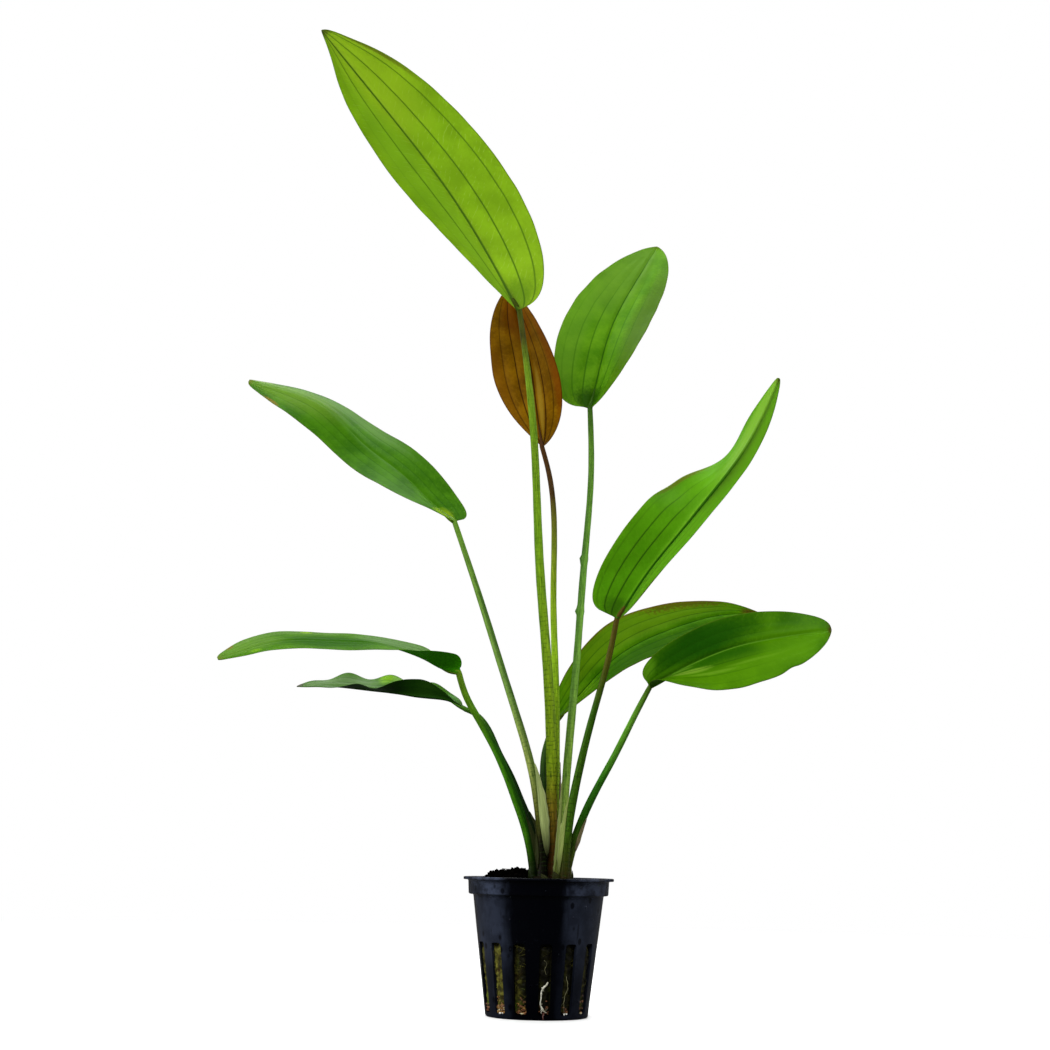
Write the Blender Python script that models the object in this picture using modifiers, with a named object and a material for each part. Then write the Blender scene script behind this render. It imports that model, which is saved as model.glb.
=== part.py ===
"""Potted amazon sword plant: a rosette of nine stalked leaves in a small net pot.

Metres, +Z up. The origin is the middle of the pot's underside, +X is right, and -Y is the front.
"""
import math
from collections import namedtuple

import bmesh
import bpy
import numpy as np
from mathutils import Matrix, Vector

MM = 0.001
GAP = 0.35 * MM

# Net pot
POT_HEIGHT = 48.5 * MM
FLANGE_RADIUS = 27.0 * MM
FLANGE_THICKNESS = 1.0 * MM
COLLAR_RADIUS = 25.3 * MM
COLLAR_FOOT = 42.4 * MM
BODY_TOP_RADIUS = 23.4 * MM
BODY_FOOT_RADIUS = 18.2 * MM
WALL = 1.2 * MM
FLOOR = 1.3 * MM
SLOT_COUNT = 14
SLOT_WIDTH = 4.4 * MM
SLOT_FOOT = 1.6 * MM
SLOT_TOP = 26.0 * MM
SLOT_CORNER = 1.0 * MM
FRONT_SLOT_ANGLE = 7.5
DRAIN_COUNT = 8
DRAIN_WIDTH = 3.0 * MM
DRAIN_START = 6.0 * MM
DRAIN_END = 14.0 * MM

# What fills the pot
PLUG_TOP = 42.6 * MM
CROWN_CENTRE = (4.5 * MM, -1.0 * MM)
CROWN_RADIUS = 9.4 * MM
CROWN_TOP = 48.9 * MM
STALK_FOOT = 49.25 * MM
SOIL_LEVEL = 46.4 * MM
SOIL_HEAPS = (
    # x, y, height and spread of each heap, in millimetres
    (-14.0, -2.5, 4.3, 5.5),
    (-8.5, 3.0, 4.7, 6.0),
    (-3.0, 12.0, 4.2, 6.5),
)

# Leaves
BLADE_THICKNESS = 0.7 * MM
BLADE_STEPS_ALONG = 13
BLADE_STEPS_ACROSS = 6
BLADE_FOOT = 0.9   # half width of the blade where it meets its stalk, in stalk radii
BLADE_TIP = 0.3    # half width of the blade at its tip, in millimetres
STALK_STEPS = 12

POT_BLACK = (0.012, 0.014, 0.020)
WOOL_GREEN = (0.16, 0.14, 0.05)
SOIL_BROWN = (0.018, 0.013, 0.009)
CROWN_GREEN = (0.16, 0.17, 0.06)
LEAF_LIGHT = (0.22, 0.38, 0.02)
LEAF_GREEN = (0.08, 0.25, 0.02)
LEAF_DARK = (0.04, 0.17, 0.01)
LEAF_BRONZE = (0.24, 0.08, 0.01)
STALK_GREEN = (0.14, 0.26, 0.03)
STALK_BROWN = (0.12, 0.09, 0.02)
ROOT_WHITE = (0.60, 0.56, 0.44)
ROOT_BROWN = (0.14, 0.07, 0.03)

# One half of a blade: its width in millimetres; where it is widest, as a share of the length;
# how round its foot and tip are (smaller is rounder); the angles in degrees at which it rises
# from the midrib's plane, from foot to tip; how far its foot sweeps back past the stalk; and
# the height, number and start of the waves along its margin.
Half = namedtuple("Half", "width widest foot tip rise lobe wave", defaults=(0.0, (0.0, 1.0, 0.0)))

# A leaf: the stalk's route from the crown, the stalk's radii at its foot and top, the midrib's
# route from the stalk to the tip, the way the upper side looks from foot to tip, the left and
# right halves as seen from the stalk with the upper side up, and two colours. Millimetres.
Leaf = namedtuple("Leaf", "stalk radii midrib face left right blade_colour stalk_colour")

LEAVES = (
    Leaf(  # the tallest leaf, leaning forwards over the others
        stalk=((4.5, -1, 62), (3.6, -3, 96), (1.3, -6, 128), (-1.8, -8, 161), (-5, -13, 210),
               (-11, -18, 254)),
        radii=(2.0, 1.0),
        midrib=((-11, -18, 254), (-25, -25, 277), (-38, -36, 294), (-55, -50, 312), (-69, -64, 325),
                (-81, -76, 336)),
        face=((0.2, 0.9, 0.5), (0.2, 0.9, 0.5)),
        left=Half(21.5, 0.34, 0.36, 0.6, (5, 5), 2),
        right=Half(18.5, 0.36, 0.45, 0.7, (65, 24, 25)),
        blade_colour=LEAF_LIGHT,
        stalk_colour=STALK_GREEN,
    ),
    Leaf(  # the young bronze leaf behind the tallest leaf's stalk
        stalk=((6.0, 4, 62), (5.3, 5, 113), (3.7, 6.5, 152), (3.6, 8, 177), (1, 10.5, 200), (-1.5, 11, 209)),
        radii=(1.4, 0.9),
        midrib=((-1.5, 11, 209), (-4, 12, 225), (-7, 14, 244), (-11, 17, 259), (-15, 22, 275)),
        face=((0, -1, 0.2), (0, -1, 0.2)),
        left=Half(15, 0.46, 1.05, 0.75, (5, 5)),
        right=Half(12, 0.36, 0.7, 0.9, (5, 45, 60)),
        blade_colour=LEAF_BRONZE,
        stalk_colour=STALK_BROWN,
    ),
    Leaf(  # upper right leaf, leaning back
        stalk=((8.1, -3.8, 66), (9.8, -2, 91), (12.4, 3, 124), (15.2, 10, 166), (17.5, 18, 200),
               (17, 26, 228)),
        radii=(1.5, 1.0),
        midrib=((17, 26, 228), (20, 31, 242), (26, 43, 266), (37.5, 58, 291.5), (45.6, 70, 308)),
        face=((0, -0.9, 0.5), (0, -0.9, 0.5)),
        left=Half(19.3, 0.33, 0.3, 0.85, (5, 5), 3),
        right=Half(16.5, 0.4, 0.5, 0.6, (50, 20, 5)),
        blade_colour=LEAF_GREEN,
        stalk_colour=STALK_GREEN,
    ),
    Leaf(  # upper left leaf
        stalk=((0.6, -4.8, 62), (-3.2, -3, 87), (-8.2, 0, 104), (-14.5, 4, 123), (-23.1, 9, 149),
               (-34, 14, 180)),
        radii=(1.5, 1.0),
        midrib=((-34, 14, 180), (-43, 18, 188), (-54, 23, 199), (-72, 31, 214), (-87, 37, 229),
                (-106, 44, 238), (-119, 48, 242)),
        face=((0.1, -0.78, 0.62), (0.1, -0.78, 0.62)),
        left=Half(14.3, 0.4, 0.35, 0.8, (45, 15, 0, 0, 0)),
        right=Half(13.5, 0.42, 0.3, 0.8, (0, 0, -2, -22, -28, -30), 5),
        blade_colour=LEAF_GREEN,
        stalk_colour=STALK_GREEN,
    ),
    Leaf(  # right middle leaf, leaning forwards and folded towards its tip
        stalk=((9.9, -7, 63), (13.2, -9, 84), (18, -13, 105), (23.8, -19, 128), (26, -22, 140)),
        radii=(1.6, 0.9),
        midrib=((26, -22, 140), (37, -30, 157), (46, -37, 168), (56, -45, 180), (68, -55, 196),
                (78, -66, 218)),
        face=((0, 0.95, 0.2), (0, 0.95, 0.2)),
        left=Half(14, 0.4, 0.45, 0.5, (65, 66, 60)),
        right=Half(15.5, 0.33, 0.22, 0.5, (0, 0, 15, 70, 74, 70), 2),
        blade_colour=LEAF_GREEN,
        stalk_colour=STALK_GREEN,
    ),
    Leaf(  # long right leaf, behind
        stalk=((1.9, 4.2, 64), (1, 5.5, 82), (1.5, 8, 94), (5, 12, 105)),
        radii=(1.4, 1.0),
        midrib=((5, 12, 105), (16, 17, 118), (26, 22, 129), (37, 28, 137), (49, 34, 143), (74, 46, 151),
                (87, 52, 152)),
        face=((-0.3, -0.75, 0.6), (-0.3, -0.75, 0.6), (0, -0.75, 0.6)),
        left=Half(15.3, 0.5, 0.62, 0.95, (5, 5)),
        right=Half(13.8, 0.6, 1.0, 0.7, (30, 5, 5)),
        blade_colour=LEAF_DARK,
        stalk_colour=STALK_BROWN,
    ),
    Leaf(  # lower right leaf, in front, turned to face forwards
        stalk=((12.6, -3.3, 62), (18, -8, 76), (26.2, -13, 92), (33.4, -19, 107), (38, -22, 116)),
        radii=(1.5, 0.9),
        midrib=((38, -22, 116), (53, -28, 124), (69, -34, 130), (85, -39, 133), (99, -43, 135)),
        face=((0, -0.8, 0.55), (0, -0.8, 0.55)),
        left=Half(11, 0.4, 0.25, 0.45, (50, 40, 20), 1.5),
        right=Half(18.5, 0.55, 0.65, 0.6, (80, 20, 0, 0, 0)),
        blade_colour=LEAF_DARK,
        stalk_colour=STALK_GREEN,
    ),
    Leaf(  # lower left leaf, arched over level
        stalk=((-4.2, -3.5, 63), (-8.4, -5.5, 75), (-14.7, -9, 90), (-22.7, -13, 104), (-27.3, -16.5, 112),
               (-30, -20, 120)),
        radii=(1.6, 1.1),
        midrib=((-30, -20, 120), (-36, -22, 121.5), (-41, -24, 124), (-46, -25, 126), (-54, -28, 128),
                (-74, -36, 128.5), (-91, -42, 127.5), (-111, -49, 120)),
        face=((0, -0.2, 1), (0, -0.38, 0.92), (0, -0.38, 0.92)),
        left=Half(12, 0.35, 0.4, 0.75, (75, 18, 2, 0, 0, 0), 3),
        right=Half(11.2, 0.6, 0.6, 0.55, (50, 12, 0, 0, 0)),
        blade_colour=LEAF_GREEN,
        stalk_colour=STALK_GREEN,
    ),
    Leaf(  # lowest left leaf, twisted and wavy
        stalk=((-2, 2.5, 64), (-6.5, 4, 75), (-10.4, 5, 84), (-15.7, 6, 94), (-20.4, 8, 103.4),
               (-24.4, 8.6, 107.4), (-28, 9, 109)),
        radii=(1.4, 0.9),
        midrib=((-28, 9, 109), (-34, 11, 112.3), (-39, 12, 113.3), (-46, 14, 114), (-52, 16, 115),
                (-64, 20, 116.5), (-79, 24, 118), (-93, 30, 118)),
        face=((0, 0.1, 1), (0, -0.1, 1), (0, -0.3, 1)),
        left=Half(7, 0.3, 0.8, 0.8, (30, 55, 45, -5, -15, 0)),
        right=Half(9.6, 0.4, 0.4, 0.6, (45, 38, 30, 27, 12), 2.5, (1.0, 4.2, 0.38)),
        blade_colour=LEAF_DARK,
        stalk_colour=STALK_GREEN,
    ),
)

# Where each stalk stands on the crown, in the order of the leaves
STALK_FEET = (
    (5, -0.5), (6.3, 3.2), (7, -4.2), (1.3, -4.8), (9.2, -7), (2, 4), (9.9, -2.5), (-1.9, -2.5), (-0.5, 2),
)

# A root: the slot that it shows in, counted to the right from the front one, its radius, its colour,
# and its route as sideways offset from the slot's middle, distance out from the plug, and height
Root = namedtuple("Root", "slot radius colour route")

ROOTS = (
    Root(0, 0.45, ROOT_WHITE,
         ((1.2, 0.8, 13), (-0.9, 0.8, 9.5), (-1.2, 0.8, 6), (0.2, 0.8, 3.2), (1, 0.8, 2.6))),
    Root(1, 0.3, ROOT_WHITE,
         ((-0.6, 0.7, 15), (0.2, 0.7, 11), (-0.8, 0.7, 7.5), (-0.5, 0.7, 2.4))),
    Root(0, 0.35, ROOT_BROWN,
         ((-0.2, 1.3, 2.35), (-0.3, 2.2, 2.3), (-0.5, 2.75, 1.2), (-0.4, 2.8, 0.5))),
)


def clear_scene():
    for item in list(bpy.data.objects):
        bpy.data.objects.remove(item, do_unlink=True)


def new_collection(name):
    collection = bpy.data.collections.new(name)
    bpy.context.scene.collection.children.link(collection)
    return collection


def new_material(name, colour, roughness):
    material = bpy.data.materials.new(name)
    material.use_nodes = True
    shader = material.node_tree.nodes["Principled BSDF"]
    shader.inputs["Base Color"].default_value = (*colour, 1.0)
    shader.inputs["Roughness"].default_value = roughness
    shader.inputs["Metallic"].default_value = 0.0
    material.diffuse_color = (*colour, 1.0)
    return material


def new_part(name, data, colour, roughness):
    part = bpy.data.objects.new(name, data)
    data.materials.append(new_material(name + "_finish", colour, roughness))
    plant.objects.link(part)
    return part


def new_cutter(name, mesh):
    cutter = bpy.data.objects.new(name, mesh)
    cutter.hide_render = True
    cutter.display_type = "WIRE"
    cutters.objects.link(cutter)
    return cutter


def cut(part, cutter):
    modifier = part.modifiers.new(cutter.name, "BOOLEAN")
    modifier.operation = "DIFFERENCE"
    modifier.solver = "EXACT"
    modifier.object = cutter


def turned_mesh(name, profile, steps):
    """A closed mesh turned about Z from a profile of (radius, height), axis to axis."""
    mesh = bpy.data.meshes.new(name)
    points = [(radius, 0, height) for radius, height in profile]
    edges = [(i, i + 1) for i in range(len(points) - 1)]
    mesh.from_pydata(points, edges, [])
    blank = bpy.data.objects.new(name + "_blank", mesh)
    bpy.context.scene.collection.objects.link(blank)
    screw = blank.modifiers.new("turn", "SCREW")
    screw.steps = steps
    screw.render_steps = steps
    screw.use_merge_vertices = True
    screw.merge_threshold = 0.01 * MM
    graph = bpy.context.evaluated_depsgraph_get()
    turned = bpy.data.meshes.new_from_object(blank.evaluated_get(graph))
    turned.name = name
    bpy.data.objects.remove(blank, do_unlink=True)
    bpy.data.meshes.remove(mesh)
    turned.shade_smooth()
    turned.set_sharp_from_angle(angle=math.radians(30))
    return turned


def wall_radius(height):
    """Outer radius of the pot's tapered wall at a height."""
    return BODY_FOOT_RADIUS + (BODY_TOP_RADIUS - BODY_FOOT_RADIUS) * height / COLLAR_FOOT


def inner_radius(height):
    return wall_radius(height) - WALL


def box_cutter_faces(bm, size, corner, placement):
    """Add a box, its radial edges rounded, whose long way out is along +Y before it is placed."""
    made = bmesh.ops.create_cube(bm, size=1.0)
    bmesh.ops.scale(bm, vec=size, verts=made["verts"])
    if corner:
        radial = [
            edge for edge in {e for v in made["verts"] for e in v.link_edges}
            if abs(edge.verts[0].co.y - edge.verts[1].co.y) > size.y / 2
        ]
        made = bmesh.ops.bevel(bm, geom=radial, offset=corner, segments=2, affect="EDGES", profile=0.5)
        verts = list({v for face in made["faces"] for v in face.verts})
    else:
        verts = made["verts"]
    bmesh.ops.transform(bm, matrix=placement, verts=verts)


def ring_of_boxes(name, count, start_angle, size, corner, centre):
    """Boxes in a ring about Z, pointing outwards; the first stands start_angle to the right of -Y."""
    bm = bmesh.new()
    for i in range(count):
        turn = Matrix.Rotation(math.radians(start_angle + 360 * i / count), 4, "Z")
        box_cutter_faces(bm, size, corner, turn @ Matrix.Translation(centre))
    mesh = bpy.data.meshes.new(name)
    bm.to_mesh(mesh)
    bm.free()
    return mesh


def build_pot():
    """One moulded pot: slotted floor, tapered slotted wall, collar and flat rim flange."""
    lip = POT_HEIGHT - FLANGE_THICKNESS
    ledge = COLLAR_FOOT + WALL
    profile = [
        (0, FLOOR),
        (inner_radius(FLOOR) - 0.6 * MM, FLOOR),
        (inner_radius(FLOOR), FLOOR + 0.6 * MM),
        (inner_radius(SLOT_TOP), SLOT_TOP),
        (inner_radius(COLLAR_FOOT), ledge),
        (COLLAR_RADIUS - WALL - 0.3 * MM, ledge),
        (COLLAR_RADIUS - WALL, POT_HEIGHT),
        (FLANGE_RADIUS, POT_HEIGHT),
        (FLANGE_RADIUS, lip),
        (COLLAR_RADIUS, lip),
        (COLLAR_RADIUS - 0.2 * MM, COLLAR_FOOT + 0.6 * MM),
        (COLLAR_RADIUS - 0.7 * MM, COLLAR_FOOT),
        (BODY_TOP_RADIUS, COLLAR_FOOT),
        (wall_radius(SLOT_TOP), SLOT_TOP),
        (BODY_FOOT_RADIUS, 0.8 * MM),
        (BODY_FOOT_RADIUS - 0.7 * MM, 0),
        (0, 0),
    ]
    pot = new_part("pot", turned_mesh("pot", profile, 52), POT_BLACK, 0.35)
    slot_height = SLOT_TOP - SLOT_FOOT
    slots = ring_of_boxes(
        "wall_slots", SLOT_COUNT, FRONT_SLOT_ANGLE,
        Vector((SLOT_WIDTH, 10 * MM, slot_height)), SLOT_CORNER,
        Vector((0, -20 * MM, SLOT_FOOT + slot_height / 2)),
    )
    cut(pot, new_cutter("wall_slots", slots))
    drains = ring_of_boxes(
        "floor_drains", DRAIN_COUNT, 0,
        Vector((DRAIN_WIDTH, DRAIN_END - DRAIN_START, 4 * FLOOR)), 0,
        Vector((0, -(DRAIN_START + DRAIN_END) / 2, FLOOR / 2)),
    )
    cut(pot, new_cutter("floor_drains", drains))


def plug_radius(height):
    return inner_radius(height) - GAP


def build_plug():
    """The pressed rock wool block that fills the pot."""
    foot = FLOOR + GAP
    edge = 0.7 * MM
    profile = [
        (0, PLUG_TOP),
        (plug_radius(PLUG_TOP) - edge, PLUG_TOP),
        (plug_radius(PLUG_TOP - edge), PLUG_TOP - edge),
        (plug_radius(foot + edge) - 0.2 * MM, foot + edge),
        (plug_radius(foot) - edge, foot),
        (0, foot),
    ]
    new_part("rock_wool_plug", turned_mesh("rock_wool_plug", profile, 48), WOOL_GREEN, 0.95)


def crown_radius(angle):
    """The root stock is lobed where the stalks' feet push out."""
    return CROWN_RADIUS * (1 + 0.035 * math.cos(5 * angle + 0.6) + 0.02 * math.cos(3 * angle))


def build_crown():
    """The short root stock that carries every stalk."""
    foot = PLUG_TOP + GAP
    shares = ((0, CROWN_TOP), (0.93, CROWN_TOP), (1.0, CROWN_TOP - 1.2 * MM), (0.92, foot + 1.5 * MM),
              (0.7, foot), (0, foot))
    mesh = turned_mesh("crown", [(share * CROWN_RADIUS, height) for share, height in shares], 26)
    for vertex in mesh.vertices:
        factor = crown_radius(math.atan2(vertex.co.y, vertex.co.x)) / CROWN_RADIUS
        vertex.co.x = vertex.co.x * factor + CROWN_CENTRE[0]
        vertex.co.y = vertex.co.y * factor + CROWN_CENTRE[1]
    new_part("crown", mesh, CROWN_GREEN, 0.6)


def soil_rise(x, y):
    """Height of the heaps and small lumps above the soil's level."""
    lumps = 0.25 * math.sin(0.9 * x / MM + 0.5) * math.cos(1.1 * y / MM)
    heaps = 0
    for heap_x, heap_y, height, spread in SOIL_HEAPS:
        away = math.hypot(x / MM - heap_x, y / MM - heap_y) / spread
        heaps = max(heaps, height * math.exp(-away**3))
    return (lumps + heaps) * MM


def build_soil():
    """The crumbly topping: it fills the collar and heaps up at the left and behind the stalks."""
    foot = PLUG_TOP + GAP
    shelf = COLLAR_FOOT + WALL + GAP
    narrow = inner_radius(COLLAR_FOOT) - GAP
    wide = COLLAR_RADIUS - WALL - 0.3 * MM - GAP
    ring_count = 9
    top = [(wide * 0.985 * i / ring_count, SOIL_LEVEL) for i in range(ring_count + 1)]
    profile = top + [(wide, SOIL_LEVEL - 0.8 * MM), (wide, shelf), (narrow, shelf), (narrow, foot), (0, foot)]
    mesh = turned_mesh("soil_topping", profile, 44)
    for vertex in mesh.vertices:
        if vertex.co.z > SOIL_LEVEL - 0.1 * MM:
            edge = min(1.0, (wide - math.hypot(vertex.co.x, vertex.co.y)) / (3 * MM) + 0.15)
            vertex.co.z += soil_rise(vertex.co.x, vertex.co.y) * edge
    soil = new_part("soil_topping", mesh, SOIL_BROWN, 0.95)
    bm = bmesh.new()
    bmesh.ops.create_cone(bm, cap_ends=True, segments=28, radius1=CROWN_RADIUS * 1.06 + GAP,
                          radius2=CROWN_RADIUS * 1.06 + GAP, depth=20 * MM)
    bmesh.ops.translate(bm, vec=(*CROWN_CENTRE, SOIL_LEVEL), verts=bm.verts)
    hole = bpy.data.meshes.new("crown_hole")
    bm.to_mesh(hole)
    bm.free()
    cut(soil, new_cutter("crown_hole", hole))


def spline(knots, values, places):
    """Natural cubic curve through the values at the knots, read at the places."""
    knots = np.asarray(knots, float)
    values = np.asarray(values, float)
    step = np.diff(knots)
    system = np.eye(len(knots))
    change = np.zeros_like(values)
    for i in range(1, len(knots) - 1):
        system[i, i - 1:i + 2] = step[i - 1], 2 * (step[i - 1] + step[i]), step[i]
        change[i] = 6 * ((values[i + 1] - values[i]) / step[i] - (values[i] - values[i - 1]) / step[i - 1])
    bend = np.linalg.solve(system, change)
    i = np.clip(np.searchsorted(knots, places, side="right") - 1, 0, len(step) - 1)
    column = (-1,) + (1,) * (values.ndim - 1)
    width = step[i].reshape(column)
    left = (knots[i + 1] - places).reshape(column)
    right = (places - knots[i]).reshape(column)
    cubic = (bend[i] * left**3 + bend[i + 1] * right**3) / (6 * width)
    return cubic + (values[i] / width - bend[i] * width / 6) * left \
        + (values[i + 1] / width - bend[i + 1] * width / 6) * right


def along_route(points, shares):
    """Points at shares of the length of a smooth curve through the given points."""
    points = np.array(points, float)
    reach = np.concatenate(([0.0], np.cumsum(np.linalg.norm(np.diff(points, axis=0), axis=1))))
    return spline(reach, points, np.asarray(shares) * reach[-1])


def along_stations(values, shares):
    """Values given at even steps from foot to tip, read at shares of the length."""
    values = np.array(values, float)
    return spline(np.linspace(0, 1, len(values)), values, np.asarray(shares))


def unit(vectors):
    return vectors / np.linalg.norm(vectors, axis=-1, keepdims=True)


def width_share(half, shares):
    """Outline of one half: 1 where it is widest, 0 at the foot and the tip."""
    rise = np.clip((half.widest - shares) / half.widest, 0, 1)
    fall = np.clip((shares - half.widest) / (1 - half.widest), 0, 1)
    return (1 - rise**2) ** half.foot * (1 - fall**2) ** half.tip


def blade_points(leaf, shares, across):
    """Points of the blade's middle surface at shares of its length, at one place across (-1 to 1)."""
    step = 0.001
    centre = along_route(leaf.midrib, shares)
    ahead = unit(along_route(leaf.midrib, np.minimum(shares + step, 1))
                 - along_route(leaf.midrib, np.maximum(shares - step, 0)))
    face = along_stations(leaf.face, shares)
    up = unit(face - (face * ahead).sum(axis=1, keepdims=True) * ahead)
    side = np.cross(ahead, up)
    half = leaf.left if across < 0 else leaf.right
    share = width_share(half, shares)
    least = leaf.radii[1] * BLADE_FOOT * (1 - shares) + BLADE_TIP * shares
    reach = abs(across) * np.maximum(half.width * share, least)
    rise = np.radians(along_stations(half.rise, shares))
    height, count, start = half.wave
    wave = height * across**2 * share * np.sin(2 * np.pi * (count * shares + start))
    back = half.lobe * across**2 * share * (1 - shares) ** 8
    points = centre + (np.sign(across) * reach * np.cos(rise))[:, None] * side
    return points + (reach * np.sin(rise) + wave)[:, None] * up - back[:, None] * ahead


def build_blade(name, leaf):
    """A leaf blade: a flat grid shaped by the leaf's midrib and its two halves, then thickened."""
    bm = bmesh.new()
    bmesh.ops.create_grid(bm, x_segments=BLADE_STEPS_ALONG, y_segments=BLADE_STEPS_ACROSS, size=1.0)
    length = sum(math.dist(a, b) for a, b in zip(leaf.midrib, leaf.midrib[1:])) * MM
    start = GAP / length
    for vertex in bm.verts:
        even = (vertex.co.x + 1) / 2
        share = start + (1 - start) * (1 - math.cos(math.pi * even)) / 2
        vertex.co = Vector(blade_points(leaf, np.array([share]), vertex.co.y)[0]) * MM
    mesh = bpy.data.meshes.new(name)
    bm.to_mesh(mesh)
    bm.free()
    mesh.shade_smooth()
    blade = new_part(name, mesh, leaf.blade_colour, 0.35)
    solid = blade.modifiers.new("thickness", "SOLIDIFY")
    solid.thickness = BLADE_THICKNESS
    solid.offset = 0.0


def build_tube(name, points, radii, colour, roughness):
    """A closed tube through points in metres, tapering from the first radius to the second."""
    curve = bpy.data.curves.new(name, "CURVE")
    curve.dimensions = "3D"
    curve.bevel_depth = 1.0 * MM
    curve.bevel_resolution = 2
    curve.use_fill_caps = True
    line = curve.splines.new("POLY")
    line.points.add(len(points) - 1)
    for i, (knot, point) in enumerate(zip(line.points, points)):
        share = i / (len(points) - 1)
        knot.co = (*point, 1.0)
        knot.radius = (radii[0] * (1 - share) + radii[1] * share) / MM
    new_part(name, curve, colour, roughness)


def build_stalk(name, leaf, foot):
    """A stalk that stands straight up from the crown, then follows the leaf's route."""
    straight = 3.0
    start = (*foot, STALK_FOOT / MM)
    rise = (*foot, STALK_FOOT / MM + straight)
    bend = along_route((rise,) + leaf.stalk, np.linspace(0, 1, STALK_STEPS))
    points = [np.array(start)] + list(bend)
    build_tube(name, [point * MM for point in points], [r * MM for r in leaf.radii], leaf.stalk_colour, 0.45)


def build_root(name, root):
    """A root that has grown out of the plug into a slot of the wall."""
    turn = Matrix.Rotation(math.radians(FRONT_SLOT_ANGLE + 360 * root.slot / SLOT_COUNT), 3, "Z")
    route = []
    for sideways, out, height in along_route(root.route, np.linspace(0, 1, 8)):
        distance = plug_radius(height * MM) + out * MM
        route.append(turn @ Vector((sideways * MM, -distance, height * MM)))
    build_tube(name, route, (root.radius * MM, 0.6 * root.radius * MM), root.colour, 0.5)


clear_scene()
plant = new_collection("potted_amazon_sword")
cutters = new_collection("cutters")
build_pot()
build_plug()
build_crown()
build_soil()
for number, (sword_leaf, stalk_foot) in enumerate(zip(LEAVES, STALK_FEET), start=1):
    build_stalk(f"leaf_{number}_stalk", sword_leaf, stalk_foot)
    build_blade(f"leaf_{number}_blade", sword_leaf)
for number, slot_root in enumerate(ROOTS, start=1):
    build_root(f"root_{number}", slot_root)
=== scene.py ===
"""Looks of the potted amazon sword plant: nine grown leaves in a small net pot, on a pale floor.

Metres, in the frame's own axes: +Z up, -Y the front. Leaf and pot sizes are written in millimetres.
"""
import math
from collections import namedtuple

import bmesh
import bpy
import numpy as np
from mathutils import Matrix, Vector


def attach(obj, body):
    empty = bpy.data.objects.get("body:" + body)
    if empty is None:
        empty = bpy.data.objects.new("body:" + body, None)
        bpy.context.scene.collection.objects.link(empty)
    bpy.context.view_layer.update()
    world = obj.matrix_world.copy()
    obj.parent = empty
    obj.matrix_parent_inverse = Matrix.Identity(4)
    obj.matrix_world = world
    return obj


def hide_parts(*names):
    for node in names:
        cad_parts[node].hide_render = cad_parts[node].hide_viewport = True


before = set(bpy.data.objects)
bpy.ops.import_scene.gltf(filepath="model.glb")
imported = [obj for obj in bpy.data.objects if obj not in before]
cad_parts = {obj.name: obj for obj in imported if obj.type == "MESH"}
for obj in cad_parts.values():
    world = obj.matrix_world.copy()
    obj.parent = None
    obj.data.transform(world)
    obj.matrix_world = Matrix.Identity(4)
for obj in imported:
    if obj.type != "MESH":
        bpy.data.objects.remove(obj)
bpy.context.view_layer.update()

MM = 0.001
TURN = 2 * math.pi

# The camera in front of the plant, low and looking up: metres, degrees, and millimetres for the lens
CAMERA_PLACE = (-0.0074, -0.70, 0.0565)
CAMERA_PITCH = 9.76
CAMERA_ROLL = 1.11
CAMERA_LENS = 65.7

# The studio: what the camera sees behind the plant, what the plant sees round it, and how much
# light the floor throws back up
BACKGROUND = (1.0, 1.0, 1.0)
ROOM_GREY = (0.05, 0.05, 0.052)
FLOOR_BOUNCE = (0.09, 0.09, 0.09)
STUDIO_RADIUS = 6.0

# Lights that look at one point: name, place, width, height, power
LIGHT_TARGET = (0.0, 0.0, 0.16)
LIGHTS = (
    ("left_panel", (-0.95, -0.05, 0.36), 1.3, 1.0, 14.0),
    ("right_panel", (0.95, -0.05, 0.36), 1.2, 1.0, 9.0),
    ("top_panel", (0.0, 0.45, 1.2), 1.1, 0.8, 21.0),
    ("back_panel", (0.1, 1.1, 0.9), 1.2, 0.6, 5.0),
    ("front_panel", (-0.3, -1.25, 1.05), 1.0, 0.8, 31.0),
)

# Net pot, in millimetres
POT_HEIGHT = 48.5
FLANGE_RADIUS = 27.0
FLANGE_THICKNESS = 1.0
COLLAR_RADIUS = 25.3
COLLAR_FOOT = 42.4
COLLAR_DRAFT = 0.3      # how much narrower the collar's inside is at its foot
BODY_TOP_RADIUS = 23.4
BODY_FOOT_RADIUS = 18.2
WALL = 1.2
FLOOR = 1.3
SLOT_COUNT = 14
SLOT_WIDTH = 4.4
SLOT_FOOT = 1.6
SLOT_TOP = 26.0
SLOT_CORNER = 1.0
FRONT_SLOT_ANGLE = 7.5
DRAIN_COUNT = 8
DRAIN_WIDTH = 3.0
DRAIN_START = 6.0
DRAIN_END = 14.0
POT_SIDES = 168
SHARP_EDGE = 32         # angle in degrees from which the pot's edges are shaded sharp

# Bands of painted sheen of the side lights round the pot: middle and half width in degrees to the
# right of -Y, strength
SHEEN_BANDS = ((-52, 22, 0.44), (50, 26, 0.36), (128, 18, 0.34), (-140, 24, 0.46))

# What fills the pot and where the plant stands in it, in millimetres; a heap is (x, y, height,
# spread), and crumbs are (count, least size, greatest size)
GAP = 0.35              # between the pot and its fill
PLUG_TOP = 42.6
CROWN_CENTRE = (4.5, -1.0)
CROWN_RADIUS = 9.4
STALK_FOOT = 49.25      # height at which the stalks leave the crown
SOIL_LEVEL = 46.4
SOIL_HEAPS = ((-14.0, -2.5, 4.3, 5.5), (-8.5, 3.0, 4.7, 6.0), (-3.0, 12.0, 4.2, 6.5))
SOIL_CRUMBS = ((1500, 0.22, 0.55), (380, 0.5, 1.0), (50, 0.9, 1.5))
SOIL_FIBRES = 130
CROWN_TOP = 47.3
SCALE_COUNT = 9

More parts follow.
